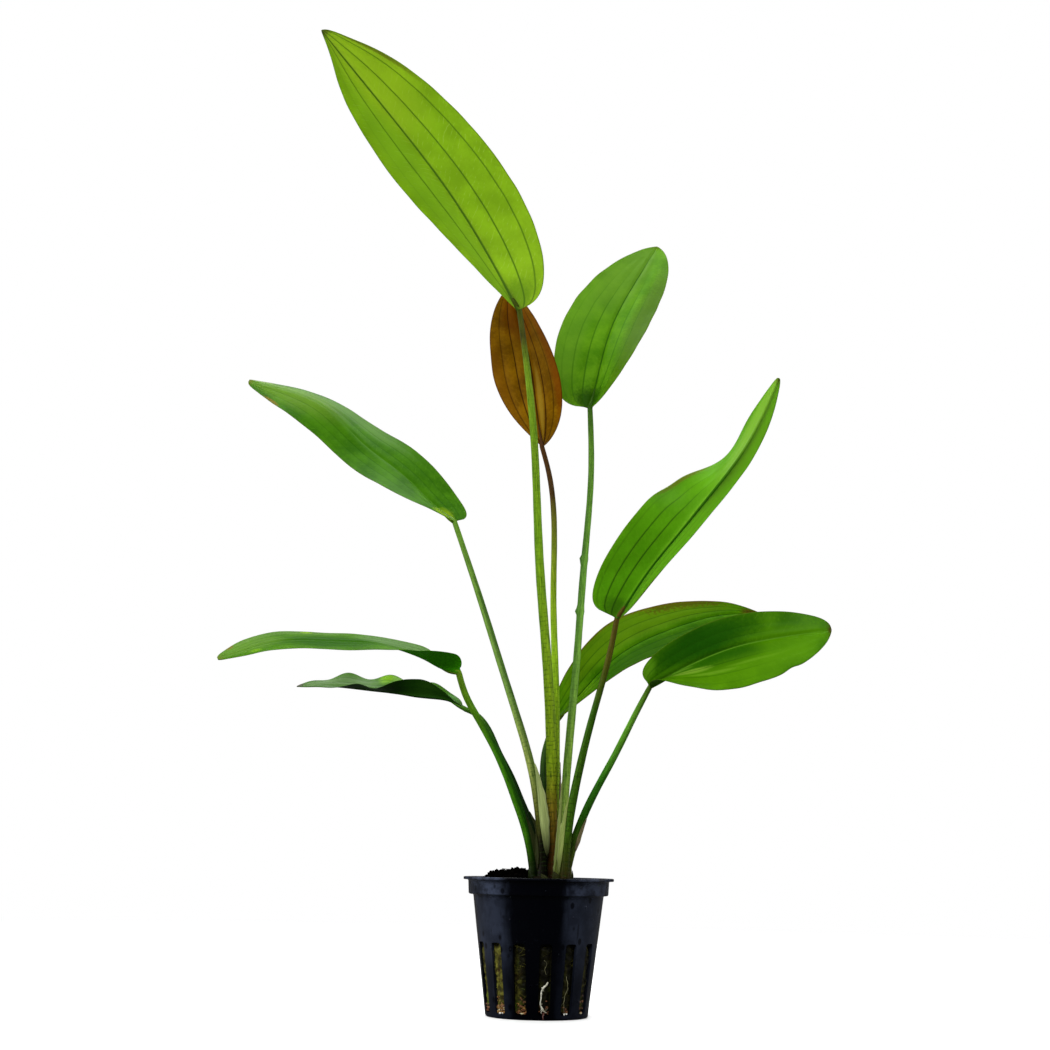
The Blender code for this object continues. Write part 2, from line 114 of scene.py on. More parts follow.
# How far the plug swells into a front slot and into any other, and its loose fibres in each
FRONT_RISE = 0.6
SIDE_RISE = 1.1
FIBRES_IN_A_SLOT = 34
SLOT_REACH = 1.9        # how far from a slot's middle fibres and roots start or end

# How much painted shade each slot's fill has, counted to the right from the front slot, and the rest's
WOOL_SHADE = {-4: 0.4, -3: 0.15, -2: 0.0, -1: 0.62, 0: 0.96, 1: 0.86, 2: 0.72, 3: 0.5}
WOOL_SHADE_BEHIND = 0.4

# Grains: name, darkest and palest colour, roughness; and their heaps: slot, count, which grain
GRAINS = (
    ("grain_brown", (52, 26, 12), (120, 76, 40), 0.5),
    ("grain_ochre", (80, 52, 16), (146, 106, 44), 0.5),
    ("grain_cream", (140, 124, 84), (206, 196, 160), 0.5),
    ("grain_white", (190, 188, 176), (236, 236, 228), 0.4),
)
GRAIN_HEAPS = (
    (-2, 46, 1), (-2, 12, 2), (-2, 22, 0), (-1, 60, 0), (-1, 16, 1), (-3, 22, 0), (1, 12, 0),
    (0, 14, 0), (2, 10, 0), (4, 24, 0), (6, 30, 1), (-5, 24, 0), (-6, 20, 1),
)

# How finely the leaves are made
BLADE_ROWS = 150
BLADE_COLUMNS = 44      # on each side of the midrib
BLADE_FOOT = 0.9        # half width of the blade where it meets its stalk, in stalk radii
BLADE_TIP = 0.3         # half width at the tip, in millimetres
MARGIN_THICKNESS = 0.13
BODY_THICKNESS = 0.24   # what a blade has more of at its midrib
RIB = 0.28              # height of the midrib's rib at the foot of the blade
RIB_RUN = 9.0           # how far a stalk's skin runs on under its blade
VEIN_GROOVE = 1.1       # half widths of the grooves over veins and midrib
MIDRIB_GROOVE = 0.9
STALK_ROWS = 130
STALK_SIDES = 28
STALK_SINK = 1.5        # how far a stalk's skin reaches into the crown
STALK_STRAIGHT = 3.0    # how far it then goes straight up
SHEATH_ROWS = 46
SHEATH_COLUMNS = 13

# Steps of a leaf's cross veins and of a stalk's dark ticks, in millimetres
CROSS_VEIN_STEP = 2.3
TICK_STEP = 1.6

# Finishes of the record that differ from leaf_green and stalk_green
BLADE_FINISHES = {1: "leaf_light", 2: "leaf_bronze", 6: "leaf_dark", 7: "leaf_dark", 9: "leaf_dark"}
STALK_FINISHES = {2: "stalk_brown", 6: "stalk_brown"}

# One half of a blade, in millimetres and degrees: its greatest width, at what share of the length
# that is, how blunt its foot and tip are, how steeply it rises from the midrib at even steps from
# foot to tip, how far its lobe reaches back, and its margin's wave as (height, count, start).
# A leaf: its stalk's and midrib's routes, the stalk's radii at foot and top, the way its upper side
# looks at even steps, and its two halves. A single rise or way holds from foot to tip.
Half = namedtuple("Half", "width widest foot tip rise lobe wave", defaults=(0.0, (0.0, 1.0, 0.0)))
Leaf = namedtuple("Leaf", "stalk radii midrib face left right")

LEAVES = (
    Leaf(  # the tallest leaf, leaning forwards over the others
        stalk=((4.5, -1, 62), (3.6, -3, 96), (1.3, -6, 128), (-1.8, -8, 161), (-5, -13, 210),
               (-11, -18, 254)),
        radii=(2.0, 1.0),
        midrib=((-11, -18, 254), (-25, -25, 277), (-38, -36, 294), (-55, -50, 312), (-69, -64, 325),
                (-81, -76, 336)),
        face=((0.2, 0.9, 0.5),),
        left=Half(21.5, 0.34, 0.36, 0.6, (5,), 2),
        right=Half(18.5, 0.36, 0.45, 0.7, (65, 24, 25)),
    ),
    Leaf(  # the young bronze leaf behind the tallest leaf's stalk
        stalk=((6.0, 4, 62), (5.3, 5, 113), (3.7, 6.5, 152), (3.6, 8, 177), (1, 10.5, 200), (-1.5, 11, 209)),
        radii=(1.4, 0.9),
        midrib=((-1.5, 11, 209), (-4, 12, 225), (-7, 14, 244), (-11, 17, 259), (-15, 22, 275)),
        face=((0, -1, 0.2),),
        left=Half(15, 0.46, 1.05, 0.75, (5,)),
        right=Half(12, 0.36, 0.7, 0.9, (5, 45, 60)),
    ),
    Leaf(  # upper right leaf, leaning back
        stalk=((8.1, -3.8, 66), (9.8, -2, 91), (12.4, 3, 124), (15.2, 10, 166), (17.5, 18, 200),
               (17, 26, 228)),
        radii=(1.5, 1.0),
        midrib=((17, 26, 228), (20, 31, 242), (26, 43, 266), (37.5, 58, 291.5), (45.6, 70, 308)),
        face=((0, -0.9, 0.5),),
        left=Half(19.3, 0.33, 0.3, 0.72, (5,), 3),
        right=Half(16.5, 0.4, 0.5, 0.6, (50, 20, 5)),
    ),
    Leaf(  # upper left leaf
        stalk=((0.6, -4.8, 62), (-3.2, -3, 87), (-8.2, 0, 104), (-14.5, 4, 123), (-23.1, 9, 149),
               (-34, 14, 180)),
        radii=(1.5, 1.0),
        midrib=((-34, 14, 180), (-43, 18, 188), (-54, 23, 199), (-72, 31, 214), (-87, 37, 229),
                (-106, 44, 238), (-119, 48, 242)),
        face=((0.1, -0.78, 0.62),),
        left=Half(14.6, 0.5, 0.38, 0.42, (45, 15, 0, 0, 0)),
        right=Half(13.5, 0.42, 0.3, 0.55, (0, 0, -2, -22, -28, -30), 5),
    ),
    Leaf(  # right middle leaf, leaning forwards and folded towards its tip
        stalk=((9.9, -7, 63), (13.2, -9, 84), (18, -13, 105), (23.8, -19, 128), (26, -22, 140)),
        radii=(1.6, 0.9),
        midrib=((26, -22, 140), (37, -30, 157), (46, -37, 168), (56, -45, 180), (68, -55, 196),
                (78, -66, 218)),
        face=((0, 0.95, 0.2),),
        left=Half(14, 0.4, 0.45, 0.5, (65, 66, 60)),
        right=Half(16.0, 0.32, 0.2, 0.5, (0, 0, 15, 70, 74, 70), 2),
    ),
    Leaf(  # long right leaf, behind
        stalk=((1.9, 4.2, 64), (1, 5.5, 82), (1.5, 8, 94), (5, 12, 105)),
        radii=(1.4, 1.0),
        midrib=((5, 12, 105), (16, 17, 118), (26, 22, 129), (37, 28, 137), (49, 34, 143), (74, 46, 151),
                (87, 52, 152)),
        face=((-0.3, -0.75, 0.6), (-0.3, -0.75, 0.6), (0, -0.75, 0.6)),
        left=Half(15.3, 0.5, 0.62, 0.95, (5,)),
        right=Half(13.8, 0.6, 1.0, 0.7, (30, 5, 5)),
    ),
    Leaf(  # lower right leaf, in front, turned to face forwards
        stalk=((12.6, -3.3, 62), (18, -8, 76), (26.2, -13, 92), (33.4, -19, 107), (38, -22, 116)),
        radii=(1.5, 0.9),
        midrib=((38, -22, 116), (53, -28, 124), (69, -34, 130), (85, -39, 133), (99, -43, 135)),
        face=((0, -0.8, 0.55),),
        left=Half(11, 0.4, 0.25, 0.45, (50, 40, 20), 1.5),
        right=Half(18.5, 0.55, 0.65, 0.6, (80, 20, 0, 0, 0)),
    ),
    Leaf(  # lower left leaf, arched over level
        stalk=((-4.2, -3.5, 63), (-8.4, -5.5, 75), (-14.7, -9, 90), (-22.7, -13, 104), (-27.3, -16.5, 112),
               (-30, -20, 120)),
        radii=(1.6, 1.1),
        midrib=((-30, -20, 120), (-36, -22, 121.5), (-41, -24, 124), (-46, -25, 126), (-54, -28, 128),
                (-74, -36, 128.5), (-91, -42, 127.5), (-111, -49, 120)),
        face=((0, -0.2, 1), (0, -0.38, 0.92), (0, -0.38, 0.92)),
        left=Half(12, 0.35, 0.4, 0.6, (75, 18, 2, 0, 0, 0), 3),
        right=Half(10.9, 0.66, 0.6, 0.45, (50, 12, 0, 0, 0)),
    ),
    Leaf(  # lowest left leaf, twisted and wavy
        stalk=((-2, 2.5, 64), (-6.5, 4, 75), (-10.4, 5, 84), (-15.7, 6, 94), (-20.4, 8, 103.4),
               (-24.4, 8.6, 107.4), (-28, 9, 109)),
        radii=(1.4, 0.9),
        midrib=((-28, 9, 109), (-34, 11, 112.3), (-39, 12, 113.3), (-46, 14, 114), (-52, 16, 115),
                (-64, 20, 116.5), (-79, 24, 118), (-93, 30, 118)),
        face=((0, 0.1, 1), (0, -0.1, 1), (0, -0.3, 1)),
        left=Half(7, 0.27, 3.0, 0.8, (20, 45, 60, 58, 34, 8, 20, 6, -10, -12, -5)),
        right=Half(9.6, 0.4, 2.0, 0.6, (45, 38, 30, 27, 12), 45, (1.3, 4.3, 0.1)),
    ),
)

STALK_FEET = (
    (5, -0.5), (6.3, 3.2), (7, -4.2), (1.3, -4.8), (9.2, -7), (2, 4), (9.9, -2.5), (-1.9, -2.5), (-0.5, 2),
)

# A root: the slot that it shows in, counted to the right from the front one, its radius, its route
# as sideways offset from the slot's middle, distance out from the plug, and height, and the routes
# of its longer side roots
Root = namedtuple("Root", "slot radius route twigs", defaults=((),))

ROOTS = (
    Root(0, 0.33, ((1.2, 0.8, 13), (-0.9, 0.8, 9.5), (-1.2, 0.8, 6), (0.2, 0.8, 3.2), (1, 0.8, 2.6)),
         (((-0.3, 0.6, 20.5), (0.5, 0.7, 19), (-0.1, 0.7, 17.5), (0.6, 0.6, 15.6)),
          ((-1.2, 0.8, 6.5), (-0.8, 0.9, 4.4), (0.5, 0.9, 3.4), (1.5, 0.8, 4.2)))),
    Root(1, 0.14, ((-0.6, 0.7, 15), (0.2, 0.7, 11), (-0.8, 0.7, 7.5), (-0.5, 0.7, 2.4))),
    Root(0, 0.35, ((-0.2, 1.3, 2.35), (-0.3, 2.2, 2.3), (-0.5, 2.75, 1.2), (-0.4, 2.8, 0.5))),
)

# Colours in the tables are as the eye sees them, each part from 0 to 255.
# A soft patch of another colour on a blade: its middle along (0 to 1) and across (-1 to 1), its
# reach along and across, its colour, how strong it is and how broken its edge is. Some patches are
# painted sheen, painted light and painted shade, as marked above them
Patch = namedtuple("Patch", "along across reach_along reach_across colour strength rough", defaults=(0.4,))

# The colours and habits of a blade. Veins are (place across, strength) and fade out round the share
# of the length that fade gives; dents are (side, place along, depth, spread) bites in the margin, as
# shares, and bulges where the depth is below 0; pucker is the height of its folds and ruffle that of
# its margin's; through is the share of light that comes through; cross_strength is how clear the
# fine cross veins are; back is the underside's (colour, strength), its own colour on most blades and
# painted shade on the ninth; point narrows the tip's halves; shine is how much it mirrors; rib is
# the half width of the midrib's line at the foot, in millimetres.
Look = namedtuple(
    "Look",
    "deep bright vein midrib margin tip cross veins patches dents pucker ruffle through cross_strength back"
    " point fade shine rib",
    defaults=((), (), 0.4, 0.05, 0.45, 0.4, None, (0.0, 0.0), 1.2, 0.05, 0.45),
)

EVEN_VEINS = ((-0.82, 0.2), (-0.58, 0.4), (-0.3, 0.5), (0.3, 0.5), (0.58, 0.4), (0.82, 0.2))

LOOKS = (
    Look(
        deep=(142, 179, 24), bright=(164, 200, 38), vein=(58, 112, 6),
        midrib=(40, 98, 2), margin=(104, 140, 16), tip=(60, 62, 14), cross=(196, 216, 104),
        veins=((-0.75, 0.85), (-0.36, 1.0), (0.4, 0.9), (0.72, 0.2)),
        patches=(
            Patch(0.03, 0.0, 0.07, 0.9, (92, 140, 10), 0.6),
            Patch(0.1, 0.75, 0.1, 0.5, (134, 178, 34), 0.5),
            Patch(0.85, -0.2, 0.3, 1.0, (176, 202, 58), 0.65),
            Patch(0.45, 0.5, 0.5, 0.5, (150, 190, 54), 0.5),
            Patch(0.9, -0.95, 0.2, 0.08, (110, 104, 26), 0.6),
        ),
        pucker=0.25, through=0.6, cross_strength=0.45, point=(0.3, 0.5), shine=0.06,
    ),
    Look(
        deep=(104, 70, 1), bright=(150, 108, 8), vein=(44, 18, 1),
        midrib=(54, 28, 1), margin=(84, 42, 1), tip=(74, 28, 1), cross=(160, 124, 34),
        veins=((-0.7, 0.7), (-0.38, 1.0), (0.34, 1.0), (0.66, 0.6)),
        patches=(
            Patch(0.88, 0.1, 0.3, 0.9, (130, 72, 1), 0.7),
            Patch(0.45, 0.95, 0.4, 0.3, (128, 62, 1), 0.6),
            Patch(0.25, 0.18, 0.25, 0.12, (164, 136, 40), 0.6),
            Patch(0.35, -0.9, 0.35, 0.3, (120, 74, 4), 0.5),
        ),
        pucker=0.35, through=0.4, cross_strength=0.3, shine=0.02,
    ),
    Look(
        deep=(68, 122, 5), bright=(96, 150, 20), vein=(38, 88, 4),
        midrib=(36, 84, 5), margin=(84, 112, 12), tip=(84, 98, 20), cross=(98, 146, 34),
        veins=((-0.82, 0.2), (-0.58, 0.5), (-0.3, 0.75), (0.3, 0.7), (0.58, 0.5), (0.82, 0.2)),
        patches=(
            # Painted sheen of the top light towards the tip
            Patch(0.8, -0.4, 0.4, 0.8, (96, 138, 40), 0.6),
            Patch(0.35, -0.8, 0.35, 0.4, (98, 146, 36), 0.5),
            Patch(0.45, 0.85, 0.5, 0.5, (66, 100, 1), 0.8),
            Patch(0.02, 0.0, 0.09, 0.7, (26, 68, 3), 0.85),
        ),
        pucker=0.3, through=0.35, cross_strength=0.3, fade=0.6, shine=0.025,
    ),
    Look(
        deep=(46, 96, 4), bright=(68, 122, 10), vein=(30, 76, 4),
        midrib=(70, 120, 26), margin=(72, 104, 14), tip=(104, 108, 34), cross=(88, 136, 34),
        veins=EVEN_VEINS,
        patches=(
            # Painted sheen: a pale bluish strip along the upper side
            Patch(0.62, 0.75, 0.35, 0.35, (100, 138, 70), 0.5),
            Patch(0.04, -0.2, 0.05, 0.6, (150, 180, 30), 0.6),
            Patch(0.86, -0.95, 0.05, 0.12, (140, 92, 40), 0.6),
            Patch(0.85, 0.0, 0.3, 0.9, (112, 150, 44), 0.5),
            Patch(0.96, 0.6, 0.05, 0.4, (150, 176, 90), 0.5),
        ),
        dents=((-1, 0.5, 0.13, 0.11), (-1, 0.72, -0.05, 0.1), (-1, 0.2, -0.1, 0.13)),
        pucker=0.2, through=0.35, cross_strength=0.3, point=(0.3, 0.0), shine=0.02,
    ),
    Look(
        deep=(84, 150, 6), bright=(102, 170, 16), vein=(14, 66, 3),
        midrib=(30, 96, 5), margin=(100, 132, 16), tip=(90, 92, 24), cross=(118, 174, 38),
        veins=((-0.7, 0.25), (-0.4, 0.4), (0.3, 0.95), (0.58, 0.85), (0.85, 0.3)),
        patches=(
            Patch(0.02, 0.0, 0.06, 0.8, (26, 80, 6), 0.6),
            # Painted light over the steep half and its keel, where little light falls
            Patch(0.5, -0.6, 0.7, 0.72, (160, 220, 54), 0.85),
            Patch(0.95, 0.25, 0.4, 0.7, (140, 190, 60), 0.8),
            Patch(0.5, 0.98, 0.1, 0.12, (104, 80, 26), 0.7),
            Patch(0.1, -0.98, 0.12, 0.12, (104, 70, 26), 0.7),
        ),
        dents=((1, 0.46, 0.06, 0.04), (1, 0.66, 0.08, 0.08)),
        pucker=0.15, ruffle=0.02, through=0.5, cross_strength=0.3, point=(0.2, 0.35), fade=0.45,
        rib=0.26,
    ),
    Look(
        deep=(52, 104, 2), bright=(76, 130, 6), vein=(24, 66, 2),
        midrib=(24, 66, 2), margin=(80, 60, 8), tip=(84, 44, 14), cross=(92, 138, 20),
        veins=((-0.82, 0.3), (-0.58, 0.6), (-0.3, 0.7), (0.3, 0.6), (0.58, 0.5), (0.82, 0.3)),
        patches=(
            Patch(0.5, -0.6, 0.5, 0.6, (92, 128, 8), 0.6),
            Patch(0.72, -0.88, 0.18, 0.26, (82, 52, 10), 0.6, 2.2),
            Patch(0.6, -1.0, 0.5, 0.1, (96, 74, 16), 0.5),
            Patch(0.45, 0.6, 0.5, 0.6, (42, 90, 1), 0.7),
            Patch(0.97, 0.0, 0.07, 1.0, (84, 42, 16), 0.8),
            Patch(0.12, 0.3, 0.12, 0.7, (96, 144, 18), 0.6),
        ),
        dents=((-1, 0.47, -0.09, 0.12), (-1, 0.8, 0.08, 0.1)),
        pucker=0.25, through=0.45, cross_strength=0.5, shine=0.004,
    ),
    Look(
        deep=(54, 108, 2), bright=(80, 136, 6), vein=(30, 76, 3),
        midrib=(86, 138, 30), margin=(72, 106, 12), tip=(66, 56, 16), cross=(96, 148, 26),
        veins=EVEN_VEINS,
        patches=(
            # Painted shade on the lifted upper half near the foot
            Patch(0.34, -0.55, 0.35, 0.7, (26, 84, 4), 0.92, 0.15),
            Patch(0.14, 0.0, 0.1, 0.3, (70, 124, 8), 0.7, 0.15),
            Patch(0.42, 0.2, 0.3, 0.3, (34, 88, 2), 0.85, 0.2),
            Patch(0.24, 0.32, 0.14, 0.11, (126, 166, 50), 0.85),
            Patch(0.17, 0.12, 0.1, 0.06, (104, 148, 40), 0.6),
            Patch(0.36, 0.5, 0.16, 0.05, (120, 162, 46), 0.6),
            Patch(0.6, 0.42, 0.2, 0.04, (112, 158, 40), 0.5),
            Patch(0.03, -0.85, 0.08, 0.45, (98, 154, 24), 0.9, 0.1),
            Patch(0.5, 0.65, 0.5, 0.5, (90, 144, 6), 0.5),
            Patch(0.8, 0.1, 0.22, 0.7, (88, 144, 6), 0.5),
            Patch(1.0, 0.0, 0.02, 0.5, (84, 56, 18), 0.6),
        ),
        dents=((1, 0.79, 0.06, 0.035),),
        pucker=0.3, ruffle=0.15, through=0.4, cross_strength=0.4, fade=0.55, shine=0.04,
    ),
    Look(
        deep=(54, 102, 3), bright=(74, 124, 10), vein=(32, 74, 4),
        midrib=(58, 104, 16), margin=(80, 112, 22), tip=(92, 104, 24), cross=(86, 134, 30),
        veins=EVEN_VEINS,
        patches=(
            # Painted sheen: pale bluish strips on the upper side, in this patch and the next
            Patch(0.22, 0.5, 0.25, 0.7, (104, 136, 84), 0.75),
            Patch(0.7, 0.85, 0.35, 0.25, (92, 126, 60), 0.6),
            Patch(0.55, -0.1, 0.25, 0.8, (38, 88, 1), 0.9, 0.2),
            # Painted sheen towards the tip
            Patch(0.92, 0.2, 0.22, 0.9, (124, 158, 74), 0.3),
            Patch(0.93, 0.9, 0.02, 0.22, (132, 84, 40), 0.55),
            Patch(0.86, -0.6, 0.03, 0.2, (116, 164, 20), 0.6),
            Patch(0.62, 0.88, 0.03, 0.15, (124, 164, 24), 0.7),
        ),
        pucker=0.25, ruffle=0.1, through=0.35, cross_strength=0.3, back=((58, 158, 10), 0.8), shine=0.006,
    ),
    Look(
        deep=(42, 88, 6), bright=(64, 110, 18), vein=(28, 64, 8),
        midrib=(44, 84, 12), margin=(52, 86, 18), tip=(60, 30, 34), cross=(78, 120, 36),
        veins=((-0.5, 0.5), (0.34, 0.6), (0.68, 0.5)),
        patches=(
            # Painted sheen: a pale greyish patch on the upper side
            Patch(0.78, 0.3, 0.3, 0.8, (92, 120, 72), 0.6),
            Patch(0.99, 0.0, 0.035, 1.0, (62, 34, 42), 0.8),
            Patch(0.51, 0.9, 0.05, 0.5, (110, 160, 22), 0.8),
            Patch(0.44, 0.9, 0.05, 0.5, (112, 158, 62), 0.7),
            Patch(0.1, 0.6, 0.1, 0.8, (58, 128, 6), 0.7),
        ),
        dents=((-1, 0.86, 0.5, 0.09),),
        # The near-black back is painted shade on the underside
        pucker=0.25, through=0.3, cross_strength=0.3, back=((12, 46, 3), 0.85),
    ),
)

# The colours of a stalk: stops of (share of the length, colour), how dark its cross ticks are, its
# side of painted shade as (heading in degrees from +X, strength, share of the length it reaches),
# and knots of (share, size) where it swells. The darkest stops at the feet are painted shade among
# the stalks, laid over the brown that some feet have
StalkLook = namedtuple("StalkLook", "stops ticks shade knots", defaults=(None, ()))

STALK_LOOKS = (
    StalkLook(
        ((0.0, (34, 16, 4)), (0.05, (70, 44, 10)), (0.12, (112, 96, 24)),
         (0.2, (116, 142, 22)), (0.6, (108, 150, 26)), (0.9, (98, 128, 28)),
         (0.95, (66, 66, 22)), (1.0, (60, 74, 16))), 0.7, (170, 0.45, 0.9),
    ),
    StalkLook(
        ((0.0, (60, 50, 14)), (0.12, (98, 122, 24)), (0.5, (142, 184, 32)),
         (0.78, (100, 110, 24)), (0.88, (64, 44, 12)), (1.0, (66, 38, 10))), 0.5,
    ),
    StalkLook(
        ((0.0, (96, 98, 40)), (0.1, (128, 148, 66)), (0.2, (106, 138, 50)),
         (0.5, (98, 144, 54)), (0.9, (76, 116, 32)), (1.0, (44, 78, 16))), 0.35,
        (185, 0.62, 1.0),
        ((0.65, 0.6), (0.54, 0.6)),
    ),
    StalkLook(
        ((0.0, (10, 8, 3)), (0.1, (20, 20, 6)), (0.17, (76, 80, 24)),
         (0.3, (134, 150, 72)), (0.5, (104, 138, 60)), (1.0, (84, 124, 34))), 0.6,
        (-15, 0.7, 1.0),
    ),
    StalkLook(
        ((0.0, (34, 26, 6)), (0.08, (44, 54, 8)), (0.2, (50, 84, 10)), (0.65, (46, 84, 12)),
         (0.82, (72, 74, 18)), (1.0, (78, 66, 20))), 0.85,
    ),
    StalkLook(((0.0, (12, 14, 5)), (0.5, (22, 44, 10)), (1.0, (50, 84, 18))), 0.4),
    StalkLook(
        ((0.0, (70, 66, 22)), (0.15, (60, 80, 20)), (0.3, (38, 88, 12)),
         (0.5, (44, 104, 18)), (0.8, (86, 142, 36)), (1.0, (60, 88, 20))), 0.3,
        (200, 0.4, 0.6),
    ),
    StalkLook(
        ((0.0, (12, 16, 4)), (0.08, (24, 42, 5)), (0.2, (50, 100, 9)), (0.6, (66, 130, 18)),
         (1.0, (96, 136, 26))), 0.3, (-10, 0.9, 0.9),
    ),
    # The ninth stalk is painted in shade for most of its length
    StalkLook(((0.0, (6, 8, 3)), (0.3, (8, 26, 4)), (0.75, (20, 54, 8)), (1.0, (56, 100, 18))),
              0.3),
)

# Thin sheath edges on the stalks' feet: the leaf, the heading in degrees from +X that the edge
# points to, its lowest and highest point and its width in millimetres, its colour, how much
# painted shade darkens its foot, and how far it wraps the stalk's front. The near-black ones are
# old dark sheath with painted shade between the stalks' feet
Sheath = namedtuple("Sheath", "leaf heading low high width colour dark wrap", defaults=(0.45,))

SHEATHS = (
    Sheath(4, -14, 56, 89, 1.8, (188, 204, 128), 0.9, 0.85),
    Sheath(4, 165, 51, 66, 0.9, (30, 28, 12), 0.9),
    Sheath(3, 205, 50, 84, 0.45, (150, 168, 90), 0.3),
    Sheath(3, 20, 50, 70, 1.2, (120, 142, 60), 0.5),
    Sheath(5, 172, 49.5, 77, 1.35, (164, 182, 98), 0.65),
    Sheath(7, -30, 58, 70, 0.8, (150, 136, 100), 0.4),
    Sheath(1, 175, 50, 76, 0.8, (40, 26, 10), 0.9),
    Sheath(8, -25, 50, 70, 1.4, (16, 20, 6), 0.9),
    Sheath(2, 30, 50, 90, 1.2, (150, 130, 112), 0.4),
    Sheath(9, -20, 50, 72, 1.8, (16, 15, 7), 0.9),
    Sheath(6, 180, 50, 74, 1.4, (12, 15, 6), 0.9),
)


def paint(red, green, blue):
    """The linear values that shaders take for a colour as the eye sees it."""
    shares = [part / 255 for part in (red, green, blue)]
    return tuple(s / 12.92 if s <= 0.04045 else ((s + 0.055) / 1.055) ** 2.4 for s in shares)


def spline(knots, values, places):
    """Natural cubic curve through the values at the knots, read at the places."""
    knots = np.asarray(knots, float)
    values = np.asarray(values, float)
    step = np.diff(knots)
    system = np.eye(len(knots))
    change = np.zeros_like(values)
    for i in range(1, len(knots) - 1):
        system[i, i - 1:i + 2] = step[i - 1], 2 * (step[i - 1] + step[i]), step[i]
        change[i] = 6 * ((values[i + 1] - values[i]) / step[i] - (values[i] - values[i - 1]) / step[i - 1])
    bend = np.linalg.solve(system, change)
    i = np.clip(np.searchsorted(knots, places, side="right") - 1, 0, len(step) - 1)
    column = (-1,) + (1,) * (values.ndim - 1)
    width = step[i].reshape(column)
    left = (knots[i + 1] - places).reshape(column)
    right = (places - knots[i]).reshape(column)
    cubic = (bend[i] * left**3 + bend[i + 1] * right**3) / (6 * width)
    return cubic + (values[i] / width - bend[i] * width / 6) * left \
        + (values[i + 1] / width - bend[i + 1] * width / 6) * right


def distances(points):
    """How far along a route each of its points is."""
    return np.concatenate([[0.0], np.cumsum(np.linalg.norm(np.diff(points, axis=0), axis=1))])


def along_route(points, shares):
    """Points at shares of the length of a smooth curve through the given points."""
    points = np.array(points, float)
    reach = distances(points)
    return spline(reach, points, np.asarray(shares) * reach[-1])


def along_stations(values, shares):
    """Values given at even steps from foot to tip, or one for all, read at shares of the length."""
    values = values * 2 if len(values) == 1 else values
    return spline(np.linspace(0, 1, len(values)), values, shares)


def route_length(points):
    return sum(math.dist(a, b) for a, b in zip(points, points[1:]))


def unit(vectors):
    return vectors / np.linalg.norm(vectors, axis=-1, keepdims=True)


def triples(x, y, z):
    """Three grids of numbers as one grid of points or vectors."""
    return np.stack(np.broadcast_arrays(x, y, z), axis=-1)


def circle(sides):
    return np.linspace(0, TURN, sides, endpoint=False)


def smooth(values, low, high):
    share = np.clip((values - low) / (high - low), 0, 1)
    return share * share * (3 - 2 * share)


def wobble(random, x, y, wavelength, count=7):
    """Smooth uneven waves over x and y, about -1 to 1, with crests about one wavelength apart."""
    total = 0.0
    for _ in range(count):
        heading = random.uniform(0, TURN)
        pace = TURN / (wavelength * random.uniform(0.7, 1.6))
        start = random.uniform(0, TURN)
        total = total + np.sin(pace * (math.cos(heading) * x + math.sin(heading) * y) + start)
    return total / math.sqrt(count)


def placed(name, data):
    """A new object in the scene."""
    made = bpy.data.objects.new(name, data)
    bpy.context.scene.collection.objects.link(made)
    return made


def dress(piece, slot, *nodes):
    """The piece rides on the plant's one body in place of its nodes. Its slot, a finish of the record, is
    not used.
    """
    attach(piece, "root")
    if nodes:
        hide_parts(*nodes)


class Body:
    """Gathers closed shapes, in millimetres, and their material and pattern values, for one piece."""

    def __init__(self):
        self.points, self.faces, self.slots, self.places, self.sizes = [], [], [], [], []
        self.count = 0

    def add(self, points, quads, caps=(), slot=0, place=None, size=None):
        points = np.asarray(points, float).reshape(-1, 3)
        corners = points[quads]
        volume = 0.0
        for i in range(1, quads.shape[1] - 1):
            volume += (corners[:, 0] * np.cross(corners[:, i], corners[:, i + 1])).sum()
        for cap in caps:
            ring = points[cap]
            volume += (ring[0] * np.cross(ring[1:-1], ring[2:])).sum()
        outwards = 1 if volume > 0 else -1
        faces = quads.tolist() + list(caps)
        self.faces += [[i + self.count for i in face[::outwards]] for face in faces]
        self.slots += [slot] * len(faces)
        self.points.append(points)
        for gathered, values in ((self.places, place), (self.sizes, size)):
            values = np.zeros_like(points) if values is None else np.asarray(values, float)
            gathered.append(values.reshape(-1, 3))
        self.count += len(points)

    def piece(self, name, materials, sharp=None):
        mesh = bpy.data.meshes.new(name)
        mesh.from_pydata((np.concatenate(self.points) * MM).tolist(), [], self.faces)
        for label, values in (("place", self.places), ("size", self.sizes)):
            attribute = mesh.attributes.new(label, "FLOAT_VECTOR", "POINT")
            attribute.data.foreach_set("vector", np.concatenate(values).astype(np.float32).ravel())
        for material in materials:
            mesh.materials.append(material)
        mesh.polygons.foreach_set("material_index", self.slots)
        mesh.shade_smooth()
        if sharp:
            mesh.set_sharp_from_angle(angle=math.radians(sharp))
        mesh.update()
        return placed(name, mesh)


def grid_quads(rows, columns, wrap=False):
    """Faces of a grid of points, row by row; wrap closes each row into a ring."""
    row, column = np.meshgrid(np.arange(rows - 1), np.arange(columns if wrap else columns - 1),
                              indexing="ij")
    start, following = row * columns, (column + 1) % columns
    quads = [start + column, start + following, start + columns + following, start + columns + column]
    return np.stack(quads, axis=-1).reshape(-1, 4)


def add_rings(body, rings, **marks):
    """A closed shape from rings of points, with a flat cap at each end."""
    rows, sides = rings.shape[:2]
    caps = [list(range(sides))[::-1], list(range((rows - 1) * sides, rows * sides))]
    body.add(rings, grid_quads(rows, sides, wrap=True), caps, **marks)


def add_mound(body, x, y, z, foot):
    """A closed mound from rings of points, with an upright skirt down to its foot."""
    add_rings(body, np.concatenate([triples(x, y, z), triples(x[-1], y[-1], foot)[None]]))


